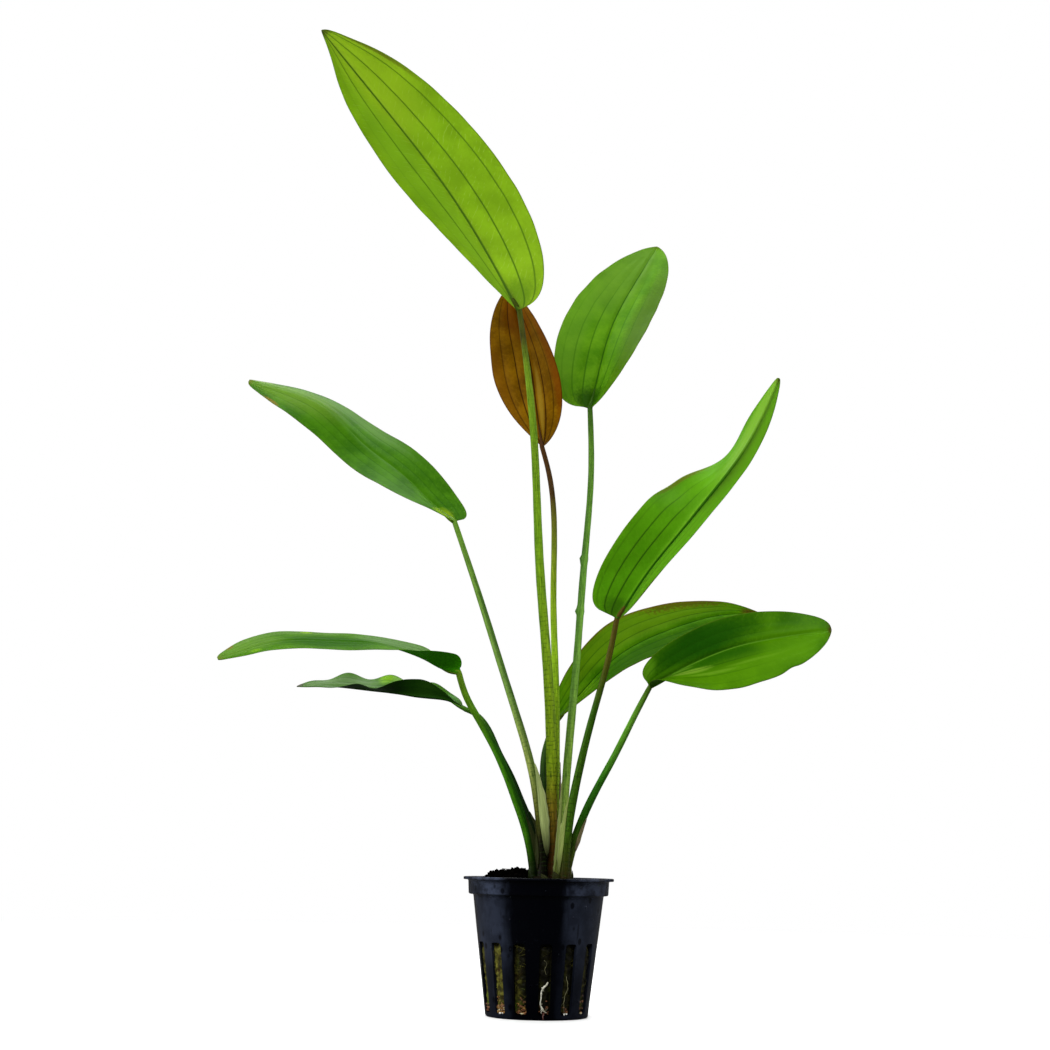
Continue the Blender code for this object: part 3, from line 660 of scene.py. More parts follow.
def add_slab(body, upper, lower, places, **marks):
    """A closed slab between two grids of points; places has the upper and the lower side's."""
    rows, columns = upper.shape[:2]
    count = rows * columns
    top = grid_quads(rows, columns)
    grid = np.arange(count).reshape(rows, columns)
    border = np.concatenate([grid[0], grid[1:, -1], grid[-1, -2::-1], grid[-2:0:-1, 0]])
    ahead = np.roll(border, -1)
    rim = np.stack([ahead, border, border + count, ahead + count], axis=-1)
    quads = np.concatenate([top, top[:, ::-1] + count, rim])
    body.add(np.stack([upper, lower]), quads, place=np.stack(places), **marks)


def carried_frames(route):
    """Two directions across a route at each point, turned as little as can be from one to the next."""
    ahead = unit(np.gradient(route, axis=0))
    first = np.array([1.0, 0.0, 0.0])
    across = []
    for direction in ahead:
        first = unit(first - first.dot(direction) * direction)
        across.append(first)
    across = np.array(across)
    return across, np.cross(ahead, across)


def add_tube(body, route, radii, sides, shape=None, **marks):
    """A capped tube round a route; shape gives each ring's own form from angle and row."""
    route = np.asarray(route, float)
    one, two = carried_frames(route)
    angles = circle(sides)
    reach = np.asarray(radii, float)[:, None] * np.ones(sides)
    if shape is not None:
        reach = reach * shape(angles[None, :], np.arange(len(route))[:, None])
    rings = route[:, None, :] + reach[..., None] * (
        np.cos(angles)[None, :, None] * one[:, None, :] + np.sin(angles)[None, :, None] * two[:, None, :])
    add_rings(body, rings, **marks)


def add_crumbs(body, centres, sizes, random, slot=0, flat=0.75):
    """Small irregular lumps, each a rounded ball pushed out of shape."""
    bm = bmesh.new()
    bmesh.ops.create_icosphere(bm, subdivisions=2, radius=1.0)
    ball = np.array([v.co for v in bm.verts])
    faces = np.array([[v.index for v in f.verts] for f in bm.faces])
    bm.free()
    count = len(centres)
    pace = random.normal(0, 1.6, (count, 1, 3, 3))
    start = random.uniform(0, TURN, (count, 1, 3))
    turned = np.einsum("nvj,nxjk->nvk", np.broadcast_to(ball, (count, *ball.shape)), pace)
    swell = 1 + 0.2 * np.sin(turned + start).sum(axis=2)
    shape = ball[None] * swell[..., None] * random.uniform(0.6, 1.15, (count, 1, 3))
    yaw = random.uniform(0, TURN, count)[:, None]
    turned = triples(shape[..., 0] * np.cos(yaw) - shape[..., 1] * np.sin(yaw),
                     shape[..., 0] * np.sin(yaw) + shape[..., 1] * np.cos(yaw), shape[..., 2] * flat)
    points = turned * np.asarray(sizes)[:, None, None] + np.asarray(centres)[:, None, :]
    tone = np.broadcast_to(random.uniform(0, 1, (count, 1, 3)), points.shape)
    offset = np.arange(count)[:, None, None] * len(ball)
    body.add(points, (faces[None] + offset).reshape(-1, 3), slot=slot, place=tone)


class Value:
    """A node's output that can be reckoned with like a number; each step adds a node."""

    def __init__(self, tree, socket):
        self.tree, self.socket = tree, socket

    def __add__(self, other):
        return self.tree.math("ADD", self, other)

    def __sub__(self, other):
        return self.tree.math("SUBTRACT", self, other)

    def __rsub__(self, other):
        return self.tree.math("SUBTRACT", other, self)

    def __mul__(self, other):
        return self.tree.math("MULTIPLY", self, other)

    def __truediv__(self, other):
        return self.tree.math("DIVIDE", self, other)

    def __abs__(self):
        return self.tree.math("ABSOLUTE", self)

    __radd__ = __add__
    __rmul__ = __mul__


class Tree:
    """Short calls for the nodes of a material or world; a value is a number, a colour or a Value."""

    def __init__(self, owner):
        owner.use_nodes = True
        self.owner = owner
        self.nodes, self.links = owner.node_tree.nodes, owner.node_tree.links

    def put(self, socket, value):
        if isinstance(value, Value):
            self.links.new(value.socket, socket)
        else:
            socket.default_value = (*value, 1.0) if isinstance(value, tuple) else value

    def fill(self, node, **values):
        """Values for a node's sockets, by their names with _ for each space."""
        for name, value in values.items():
            self.put(node.inputs[name.replace("_", " ")], value)
        return node

    def node(self, kind, *values, **settings):
        """A new node, its settings, and values for its first sockets."""
        node = self.nodes.new("ShaderNode" + kind)
        for name, value in settings.items():
            setattr(node, name, value)
        for socket, value in zip(node.inputs, values):
            self.put(socket, value)
        return node

    def value(self, node, output=0):
        return Value(self, node.outputs[output])

    def surface(self, **values):
        """Values of the main shader."""
        return self.fill(self.nodes["Principled BSDF"], **values)

    def math(self, operation, *values):
        return self.value(self.node("Math", *values, operation=operation))

    def step(self, value, low, high):
        """0 at low and 1 at high, smooth in between; low may be the larger."""
        return self.value(self.node("MapRange", value, low, high, 0.0, 1.0, interpolation_type="SMOOTHSTEP"))

    def lines(self, place, rim, core):
        """Soft lines, one at each half of a whole step of place."""
        return self.step(abs(self.math("FRACT", place) - 0.5), rim, core)

    def split(self, vector):
        """The three numbers of a vector."""
        node = self.node("SeparateXYZ", vector)
        return [self.value(node, i) for i in range(3)]

    def parts(self, attribute):
        """The three numbers of a mesh attribute."""
        return self.split(self.value(self.node("Attribute", attribute_name=attribute), "Vector"))

    def vector(self, x, y, z):
        return self.value(self.node("CombineXYZ", x, y, z))

    def position(self):
        return self.value(self.node("NewGeometry"), "Position")

    def noise(self, vector, scale, detail=3.0, roughness=0.55):
        node = self.node("TexNoise")
        return self.value(self.fill(node, Vector=vector, Scale=scale, Detail=detail, Roughness=roughness))

    def spots(self, vector, scale, rim, core, chance):
        """Soft spots round scattered points, where each point's random number is over chance."""
        node = self.fill(self.node("TexVoronoi"), Vector=vector, Scale=scale)
        luck = self.split(self.value(node, "Color"))[0]
        return self.step(self.value(node, "Distance"), rim, core) * self.math("GREATER_THAN", luck, chance)

    def mix(self, factor, one, two, blend="MIX"):
        node = self.node("Mix", data_type="RGBA", blend_type=blend)
        for index, value in zip((0, 6, 7), (factor, one, two)):
            self.put(node.inputs[index], value)
        return self.value(node, 2)

    def tinted(self, colour, red, green, blue):
        return self.mix(1.0, colour, (red, green, blue), "MULTIPLY")

    def ramp(self, factor, stops):
        node = self.node("ValToRGB", factor)
        points = node.color_ramp.elements
        while len(points) < len(stops):
            points.new(1.0)
        for point, (share, colour) in zip(points, stops):
            point.position = share
            point.color = (*paint(*colour), 1.0)
        return self.value(node)

    def relief(self, height, depth):
        """Bumps of up to depth millimetres on the main shader."""
        node = self.fill(self.node("Bump"), Strength=1.0, Distance=depth * MM, Height=height)
        self.surface(Normal=self.value(node))
        return self.value(node)

    def blend(self, share, one, two):
        """A mix of two shaders."""
        return self.node("MixShader", share, self.value(one), self.value(two))

    def show(self, shader):
        self.put(self.nodes[type(self.owner).__name__ + " Output"].inputs[0], self.value(shader))

    def let_light_through(self, share, colour, normal):
        """Mixes the main shader with light that comes through from behind."""
        through = self.fill(self.node("BsdfTranslucent"), Color=colour, Normal=normal)
        self.show(self.blend(share, self.surface(), through))


def new_material(name):
    return Tree(bpy.data.materials.new(name))


def leaf_material(number, look):
    """Veins, fine cross veins, uneven green, patches, a coloured margin and tip, and some gloss."""
    tree = new_material(f"leaf_{number}_skin")
    along, across, under = tree.parts("place")
    along_mm, across_mm, half_mm = tree.parts("size")
    flat = tree.vector(along_mm, across_mm, under)
    far, off = abs(across), abs(across_mm)

    fine = tree.noise(flat, 0.9, 4.0, 0.6)
    tone = tree.step(0.35 * fine + tree.noise(flat, 0.09), 0.45, 0.95)
    colour = tree.mix(tone, paint(*look.deep), paint(*look.bright))

    # Fine cross veins run out and forwards from the midrib, in lines broken here and there
    place = (along_mm - 0.8 * off) / CROSS_VEIN_STEP + 1.6 * tree.noise(flat, 0.16, 2.0)
    cross = tree.lines(place, 0.13, 0.0) * tree.step(tree.noise(flat, 0.5, 2.0), 0.46, 0.62)
    cross = cross * tree.step(far, 1.0, 0.9) * tree.step(along, 1.0, 0.75)
    colour = tree.mix(look.cross_strength * cross, colour, paint(*look.cross))

    for patch in look.patches:
        a = (along - patch.along) * (1 / patch.reach_along)
        b = (across - patch.across) * (1 / patch.reach_across)
        away = a * a + b * b + (2 * patch.rough * fine - patch.rough)
        colour = tree.mix(patch.strength * tree.step(away, 1.1, 0.1), colour, paint(*patch.colour))

    # Long veins keep their place across, so they run together at the foot and the tip
    narrowing = 0.52 - 0.28 * along
    veins = 0.0
    for at, strength in look.veins:
        line = strength * tree.step(abs(across - at) * half_mm, narrowing, 0.0)
        veins = tree.math("MAXIMUM", veins, line)
    veins = veins * tree.step(along, look.fade + 0.25, look.fade - 0.15)
    colour = tree.mix(0.95 * veins, colour, paint(*look.vein))
    middle = tree.step(off, look.rib - 0.5 * look.rib * along, 0.08)
    middle = middle * tree.step(along, look.fade + 0.5, look.fade + 0.1)
    colour = tree.mix(0.9 * middle, colour, paint(*look.midrib))

    edge = tree.step((1.0 - far) * half_mm, 0.55, 0.1)
    colour = tree.mix(0.75 * edge, colour, paint(*look.margin))
    end = tree.step(0.04 * fine + along, 0.99, 1.025)
    colour = tree.mix(0.85 * end, colour, paint(*look.tip))
    back, strength = look.back or (look.cross, 0.12)
    colour = tree.mix(strength * under, colour, paint(*back))

    bumps = tree.spots(flat, 0.3, 0.13, 0.03, 0.82)
    grooves = (0.25 * veins + 0.3 * middle) * tree.step(half_mm, 2.0, 8.0)
    normal = tree.relief(0.3 * bumps - grooves, 0.12)
    tree.surface(Base_Color=colour, Roughness=0.16 * fine + 0.34 - 0.22 * bumps, IOR=1.45,
                Specular_IOR_Level=look.shine)
    lively = tree.mix(0.35, colour, tree.tinted(colour, 1.0, 0.95, 0.35))
    tree.let_light_through(look.through, lively, normal)
    return tree.owner


def stalk_material(number, look):
    """Colour along the stalk, lengthwise streaks, and short dark ticks across it."""
    tree = new_material(f"stalk_{number}_skin")
    along_mm, share, _ = tree.parts("place")
    right, back, _ = tree.parts("size")
    ring = tree.vector(right, back, 0.6 * along_mm)
    colour = tree.ramp(0.03 * tree.noise(ring, 0.8, 2.0) + (share - 0.015), look.stops)
    streaks = tree.noise(tree.vector(right, back, 0.05 * along_mm), 4.0, 4.0, 0.6)
    pale = tree.tinted(colour, 1.7, 1.6, 1.6)
    dim = tree.tinted(colour, 0.34, 0.46, 0.3)
    colour = tree.mix(tree.step(streaks, 0.48, 0.72), colour, pale)
    colour = tree.mix(tree.step(streaks, 0.47, 0.3), colour, dim)
    # Painted shade on one side of the stalk, the side its shade heading points to
    if look.shade:
        heading, strength, reach = look.shade
        heading = math.radians(heading)
        facing = math.cos(heading) * right + math.sin(heading) * back
        side = tree.step(facing, -0.3, 0.6) * tree.step(share, reach, reach * 0.7)
        colour = tree.mix(strength * side, colour, tree.tinted(colour, 0.1, 0.22, 0.1))
    ticks = tree.lines(along_mm / TICK_STEP + 0.9 * tree.noise(ring, 0.5, 1.0), 0.2, 0.06)
    ticks = ticks * tree.step(tree.noise(ring, 1.7, 2.0), 0.43, 0.56)
    marks = tree.math("MAXIMUM", ticks, 0.6 * tree.spots(ring, 1.4, 0.28, 0.12, 0.6))
    marks = marks * (0.7 * tree.step(share, 0.7, 0.2) + 0.3)
    colour = tree.mix(look.ticks * marks, colour, tree.mix(0.85, colour, (0.012, 0.03, 0.002)))
    normal = tree.relief(streaks - 0.35 * marks, 0.14)
    tree.surface(Base_Color=colour, Roughness=0.2 * streaks + 0.3, IOR=1.45, Specular_IOR_Level=0.05)
    tree.let_light_through(0.2, colour, normal)
    return tree.owner


def sheath_material(name, colour, dark):
    """Thin papery edge of a stalk's foot, paler and drier towards its rim."""
    tree = new_material(name)
    colour = paint(*colour)
    along, across, _ = tree.parts("place")
    grain = tree.noise(tree.vector(3.0 * along, 9.0 * across, 0.0), 1.2, 4.0, 0.6)
    shade = tree.mix(tree.step(grain, 0.35, 0.75), tree.mix(0.5, colour, (0.05, 0.07, 0.01)), colour)
    rim = 0.2 if dark < 0.8 or colour[1] > 0.2 else 0.0
    shade = tree.mix(rim * tree.step(across, 0.75, 1.0), shade, (0.55, 0.52, 0.36))
    # Painted shade over the foot of the edge, as strong as dark
    shade = tree.mix(dark * tree.step(along, 0.42, 0.0), shade, (0.012, 0.01, 0.003))
    tree.surface(Base_Color=shade, Roughness=0.25 * grain + 0.4, IOR=1.42, Specular_IOR_Level=0.12)
    tree.let_light_through(0.4, shade, tree.relief(grain, 0.15))
    return tree.owner


def pot_material():
    """Black moulded plastic with painted bluish sheen of the side lights, dark marks and runs in it, scuffs
    and bumps.
    """
    tree = new_material("pot_plastic")
    where = tree.position()
    cloud = tree.noise(where, 160.0, 4.0, 0.6)
    scuff = tree.noise(where, 900.0, 3.0, 0.7)
    x, y, height = tree.split(where)
    upright = tree.noise(tree.vector(x, y, 0.2 * height), 300.0, 3.0, 0.6)
    angle = tree.math("ARCTAN2", x, -1.0 * y) + (0.3 * upright - 0.15)
    # Painted sheen: bluish bands where the side lights would be seen in the black plastic
    sheen = 0.0
    for middle, reach, strength in SHEEN_BANDS:
        away = abs(angle - math.radians(middle))
        band = tree.step(away, math.radians(reach + 7), math.radians(reach - 7))
        sheen = tree.math("MAXIMUM", sheen, strength * band)
    # The painted sheen is stronger on the collar, as a painted highlight, and weaker towards the foot
    high = tree.step(height, 0.040, 0.0435)
    sheen = sheen * (tree.step(cloud, 0.4, 0.6) * (high + 0.35) + (0.6 - 0.2 * high))
    sheen = sheen * (0.6 * tree.step(height, 0.012, 0.03) + 0.4)
    runs = tree.noise(tree.vector(x, y, 0.06 * height), 700.0, 2.0, 0.5)
    runs = tree.step(runs, 0.64, 0.72) * (0.6 * tree.step(cloud, 0.45, 0.6))
    marks = tree.spots(tree.vector(x, y, 0.7 * height), 330.0, 0.34, 0.2, 0.7)
    sheen = sheen * (1.0 - 0.85 * tree.math("MAXIMUM", marks, runs))
    bumps = tree.spots(where, 420.0, 0.3, 0.1, 0.88)
    colour = tree.mix(sheen, paint(0, 0, 2), paint(54, 61, 78))
    colour = tree.mix(0.1 * tree.step(scuff, 0.62, 0.8), colour, paint(60, 66, 80))
    tree.surface(Base_Color=colour, Roughness=0.2 * cloud + (0.22 - 0.1 * bumps), IOR=1.5,
                Specular_IOR_Level=0.07, Specular_Tint=(0.72, 0.82, 1.0))
    tree.relief(0.8 * cloud + (bumps + 0.1 * scuff), 0.12)
    return tree.owner


def wool_material():
    """Olive pressed fibre with green growth, dark pits and brown stains."""
    tree = new_material("rock_wool_fibre")
    where = tree.position()
    shade = tree.parts("place")[0]
    mat = tree.noise(where, 500.0, 3.0, 0.6)
    stain = tree.noise(where, 210.0, 3.0, 0.6)
    colour = tree.mix(tree.step(mat, 0.38, 0.68), paint(36, 34, 10), paint(104, 102, 38))
    colour = tree.mix(tree.step(stain, 0.54, 0.7), colour, paint(44, 30, 10))
    colour = tree.mix(tree.step(stain, 0.44, 0.26), colour, paint(88, 104, 26))
    # Painted shade: the fill darkens towards black as far as the shade value says
    colour = tree.mix(shade, colour, tree.mix(0.96, colour, (0.002, 0.002, 0.001)))
    tree.surface(Base_Color=colour, Roughness=0.4 * mat + 0.4, Specular_IOR_Level=0.05)
    tree.relief(mat + stain, 0.5)
    return tree.owner


def grain_material(name, dark, light, roughness, shine=0.3):
    """Crumbs and grains, each with its own tone between two colours."""
    tree = new_material(name)
    tone, gloss, _ = tree.parts("place")
    speck = tree.noise(tree.position(), 1500.0, 3.0, 0.7)
    share = 0.6 * tone + (0.6 * speck - 0.1)
    tree.surface(Base_Color=tree.mix(share, paint(*dark), paint(*light)),
                Roughness=(0.3 * speck + roughness) - 0.3 * gloss, Specular_IOR_Level=shine)
    tree.relief(speck, 0.2)
    return tree.owner


def root_material(name, pale, stained):
    tree = new_material(name)
    pale = paint(*pale)
    where = tree.position()
    fine = tree.noise(where, 2600.0, 2.0)
    stain = tree.step(tree.noise(where, 450.0, 3.0, 0.6), 0.4, 0.7)
    tree.surface(Base_Color=tree.mix(stain, pale, paint(*stained)), Roughness=0.3 * fine + 0.35)
    tree.let_light_through(0.15, pale, tree.relief(fine, 0.08))
    return tree.owner


def width_share(half, shares):
    """Outline of one half: 1 where it is widest, 0 at the foot and the tip."""
    rise = np.clip((half.widest - shares) / half.widest, 0, 1)
    fall = np.clip((shares - half.widest) / (1 - half.widest), 0, 1)
    return (1 - rise**2) ** half.foot * (1 - fall**2) ** half.tip


def blade_directions(leaf, shares):
    """The midrib's points, the way it runs, and the way its upper side looks."""
    step = 0.001
    centre = along_route(leaf.midrib, shares)
    ahead = unit(along_route(leaf.midrib, np.minimum(shares + step, 1))
                 - along_route(leaf.midrib, np.maximum(shares - step, 0)))
    face = along_stations(leaf.face, shares)
    up = unit(face - (face * ahead).sum(axis=1, keepdims=True) * ahead)
    return centre, ahead, up


def blade_grid(leaf, look, shares, places, random):
    """Points of the blade's middle surface, row by row from foot to tip, and its half widths."""
    centre, ahead, up = blade_directions(leaf, shares)
    side = np.cross(ahead, up)
    length = route_length(leaf.midrib)
    uneven = [0.005 * wobble(random, shares * length, 0.0, 14.0) for _ in range(2)]
    least = leaf.radii[1] * BLADE_FOOT * (1 - shares) + BLADE_TIP * shares
    columns, widths = [], []
    for across in places:
        right = int(across >= 0)
        half = (leaf.left, leaf.right)[right]
        share = width_share(half, shares)
        width = np.maximum(half.width * share, least) * (1 + uneven[right] * share)
        width = width * (1 - look.point[right] * np.exp(-((1 - shares) / 0.12) ** 2))
        for dented, place, depth, spread in look.dents:
            if dented * across > 0:
                width = width * (1 - depth * np.exp(-((shares - place) / spread) ** 2))
        reach = abs(across) * width
        rise = np.radians(along_stations(half.rise, shares))
        height, count, start = half.wave
        wave = height * across**2 * share * np.sin(TURN * (count * shares + start))
        back = half.lobe * across**2 * share * (1 - shares) ** 8
        points = centre + (np.sign(across) * reach * np.cos(rise))[:, None] * side
        columns.append(points + (reach * np.sin(rise) + wave)[:, None] * up - back[:, None] * ahead)
        widths.append(width)
    return np.stack(columns, axis=1), np.stack(widths, axis=1)


def add_blade(body, leaf, look, random):
    """One blade as a closed skin: grooved over its veins, puckered between them, with a thin rim."""
    even = np.linspace(0, 1, BLADE_ROWS)
    shares = 0.6 * ((1 - np.cos(np.pi * even)) / 2) + 0.4 * even
    half_places = np.linspace(0, 1, BLADE_COLUMNS + 1) ** 1.25
    places = np.concatenate([-half_places[:0:-1], half_places])
    middle, widths = blade_grid(leaf, look, shares, places, random)
    along = shares[:, None] * np.ones_like(widths)
    across = places[None, :] * np.ones_like(widths)
    far = np.abs(across)
    along_mm = along * route_length(leaf.midrib)
    across_mm = across * widths
    off = np.abs(across_mm)
    fullness = smooth(widths, 1.0, 6.0)

    grooves = 0.0
    for at, strength in look.veins:
        grooves = grooves + strength * np.exp(-(((across - at) * widths) / VEIN_GROOVE) ** 2)
    lift = -look.pucker * 0.55 * fullness * grooves
    lift -= 1.2 * look.pucker * fullness * np.exp(-(off / MIDRIB_GROOVE) ** 2)
    bands = np.cos(TURN * along_mm / 5.5 + 5 * far + 1.5 * wobble(random, along_mm, across_mm, 16.0))
    lift += 0.03 * look.pucker * fullness * bands * smooth(off, 0.5, 2.5) * (1 - smooth(far, 0.85, 1.0))
    lift += 0.07 * look.pucker * fullness * wobble(random, along_mm, across_mm, 9.0)
    lift += look.ruffle * fullness * (0.15 + far**2) * wobble(random, along_mm, across_mm, 30.0)
    lift += look.ruffle * fullness * far**4 * wobble(random, along_mm, 40 * np.sign(across), 11.0)

    normal = unit(np.cross(np.gradient(middle, axis=1), np.gradient(middle, axis=0)))
    thickness = MARGIN_THICKNESS + BODY_THICKNESS * np.exp(-(off / 3.5) ** 2) * (1 - smooth(far, 0.9, 1.0))
    rib_size = RIB * (1 - along) ** 0.5 + (leaf.radii[1] * 0.75 - RIB) * np.exp(-along_mm / 5.0)
    rib = rib_size * np.exp(-1.3 * (off / (1.15 * rib_size + 0.15)) ** 2)
    surface = middle + normal * lift[..., None]
    add_slab(body, surface + normal * (thickness / 2)[..., None],
             surface - normal * (thickness / 2 + rib)[..., None],
             [triples(along, across, side) for side in (0.0, 1.0)],
             size=np.stack([triples(along_mm, across_mm, widths)] * 2))


def add_stalk(body, leaf, look, foot, random):
    """A ribbed stalk: up from the crown, along the leaf's own route, and out under its blade."""
    rise = (*foot, STALK_FOOT + STALK_STRAIGHT)
    bend = along_route((rise,) + leaf.stalk, np.linspace(0, 1, STALK_ROWS))
    start = np.array((*foot, STALK_FOOT - STALK_SINK))
    stalk = np.concatenate([np.linspace(start, bend[0], 6)[:-1], bend])
    run_out = RIB_RUN / route_length(leaf.midrib)
    shares = np.linspace(0, run_out, 14)[1:]
    centre, _, up = blade_directions(leaf, shares)
    rib = leaf.radii[1] * (1 - 0.72 * smooth(shares / run_out, 0.0, 1.0))
    route = np.concatenate([stalk, centre - up * (rib * 0.55 * smooth(shares / run_out, 0, 0.5))[:, None]])
    reach = distances(route)
    share = np.clip(reach / reach[len(stalk) - 1], 0, 1)
    radii = leaf.radii[1] + (leaf.radii[0] * 1.06 - leaf.radii[1]) * (1 - share) ** 0.85
    radii = radii * (1 + 0.22 * np.exp(-reach / 7.0))
    radii[len(stalk):] = rib
    starts = random.uniform(0, TURN, 3)

    def ribs(angle, row):
        place = reach[row]
        swell = 1 + 0.035 * np.cos(5 * angle + starts[0]) + 0.03 * np.cos(3 * angle + starts[1])
        swell = swell + 0.02 * np.sin(place / 9.0 + starts[2]) + 0.012 * np.sin(place / 2.1 + 2 * angle)
        for knot, size in look.knots:
            near = np.exp(-((share[row] - knot) * reach[-1] / 1.1) ** 2)
            swell = swell + size * near * (0.25 + 0.75 * np.clip(-np.cos(angle), 0, 1))
        return swell

    angles = circle(STALK_SIDES)[None, :]
    place = triples(reach[:, None], share[:, None], 0 * angles)
    around = triples(np.cos(angles), np.sin(angles), 0 * reach[:, None])
    add_tube(body, route, radii, STALK_SIDES, ribs, place=place, size=around)
    return stalk, radii[:len(stalk)]


def add_sheath(body, sheath, stalk, radii, slot, random):
    """A thin edge that clasps a stalk's foot from its front and stands out to one side."""
    heights = np.linspace(sheath.low, sheath.high, SHEATH_ROWS)
    centre = np.stack([np.interp(heights, stalk[:, 2], stalk[:, i]) for i in range(3)], axis=1)
    radius = np.interp(heights, stalk[:, 2], radii)
    share = np.linspace(0, 1, SHEATH_ROWS)
    fullness = np.maximum(np.sin(np.pi * share**0.8), 0.0) ** 0.7
    width = sheath.width * fullness * (1 + 0.08 * wobble(random, heights, 0.0, 5.0))
    width = np.maximum(width, 0.04)
    heading = (sheath.heading + 270) % 360 - 270
    across = np.linspace(0, 1, SHEATH_COLUMNS)[None, :]
    turn = np.radians(heading + (-90 - heading) * (1 - across) * (0.15 + sheath.wrap * fullness[:, None]))
    reach = radius[:, None] * 1.03 + 0.1 + width[:, None] * across**1.6
    reach = reach + 0.1 * across**2 * wobble(random, heights[:, None], 0.0, 4.0)
    surface = centre[:, None, :] + reach[..., None] * triples(np.cos(turn), np.sin(turn), 0.0)
    normal = unit(np.cross(np.gradient(surface, axis=0), np.gradient(surface, axis=1)))
    half = normal * (0.14 - 0.1 * across)[..., None]
    add_slab(body, surface + half, surface - half, [triples(share[:, None], across, 0.0)] * 2, slot=slot)


def build_leaves():
    for number, (leaf, look, stalk_look, foot) in enumerate(zip(LEAVES, LOOKS, STALK_LOOKS, STALK_FEET), 1):
        random = np.random.default_rng(number)
        blade, stalk = Body(), Body()
        add_blade(blade, leaf, look, random)
        name = f"leaf_{number}_blade"
        dress(blade.piece(name + "_skin", [leaf_material(number, look)]),
              BLADE_FINISHES.get(number, "leaf_green"), name)
        line, radii = add_stalk(stalk, leaf, stalk_look, foot, random)
        materials = [stalk_material(number, stalk_look)]
        for sheath in SHEATHS:
            if sheath.leaf == number:
                add_sheath(stalk, sheath, line, radii, len(materials), random)
                label = f"sheath_{number}_{len(materials)}"
                materials.append(sheath_material(label, sheath.colour, sheath.dark))
        name = f"leaf_{number}_stalk"
        dress(stalk.piece(name + "_skin", materials), STALK_FINISHES.get(number, "stalk_green"), name)


def wall_radius(height):
    """Outer radius of the pot's tapered wall at a height."""
    return BODY_FOOT_RADIUS + (BODY_TOP_RADIUS - BODY_FOOT_RADIUS) * height / COLLAR_FOOT


def corner(before, at, after, size, steps=3):
    """Points that round one corner of a profile."""
    before, at, after = np.array(before, float), np.array(at, float), np.array(after, float)
    one = at + unit(before - at) * size
    two = at + unit(after - at) * size
    share = np.linspace(0, 1, steps + 1)[:, None]
    return ((1 - share) ** 2 * one + 2 * share * (1 - share) * at + share**2 * two).tolist()


def modified(blank):
    """The mesh that an object has after its modifiers."""
    graph = bpy.context.evaluated_depsgraph_get()
    return bpy.data.meshes.new_from_object(blank.evaluated_get(graph))


def turned_mesh(name, profile, steps):
    """A closed mesh turned about Z from a profile of (radius, height), from axis to axis."""
    mesh = bpy.data.meshes.new(name)
    points = [(radius * MM, 0, height * MM) for radius, height in profile]
    mesh.from_pydata(points, [(i, i + 1) for i in range(len(points) - 1)], [])
    blank = placed(name, mesh)
    screw = blank.modifiers.new("turn", "SCREW")
    screw.steps = screw.render_steps = steps
    screw.use_merge_vertices = True
    screw.merge_threshold = 0.01 * MM
    turned = modified(blank)
    bpy.data.objects.remove(blank)
    return turned


def ring_of_boxes(name, count, start_angle, size, rounding, centre):
    """Boxes in a ring about Z, pointing outwards; the first stands start_angle to the right of -Y."""
    bm = bmesh.new()
    for i in range(count):
        made = bmesh.ops.create_cube(bm, size=1.0)["verts"]
        bmesh.ops.scale(bm, vec=Vector(size) * MM, verts=made)
        if rounding:
            radial = [e for e in {e for v in made for e in v.link_edges}
                      if abs(e.verts[0].co.y - e.verts[1].co.y) > size[1] * MM / 2]
            faces = bmesh.ops.bevel(bm, geom=radial, offset=rounding * MM, segments=5, affect="EDGES",
                                    profile=0.5)["faces"]
            made = list({v for face in faces for v in face.verts})
        turn = Matrix.Rotation(math.radians(start_angle + 360 * i / count), 4, "Z")
        bmesh.ops.transform(bm, matrix=turn @ Matrix.Translation(Vector(centre) * MM), verts=made)
    mesh = bpy.data.meshes.new(name)
    bm.to_mesh(mesh)
    bm.free()
    return placed(name, mesh)


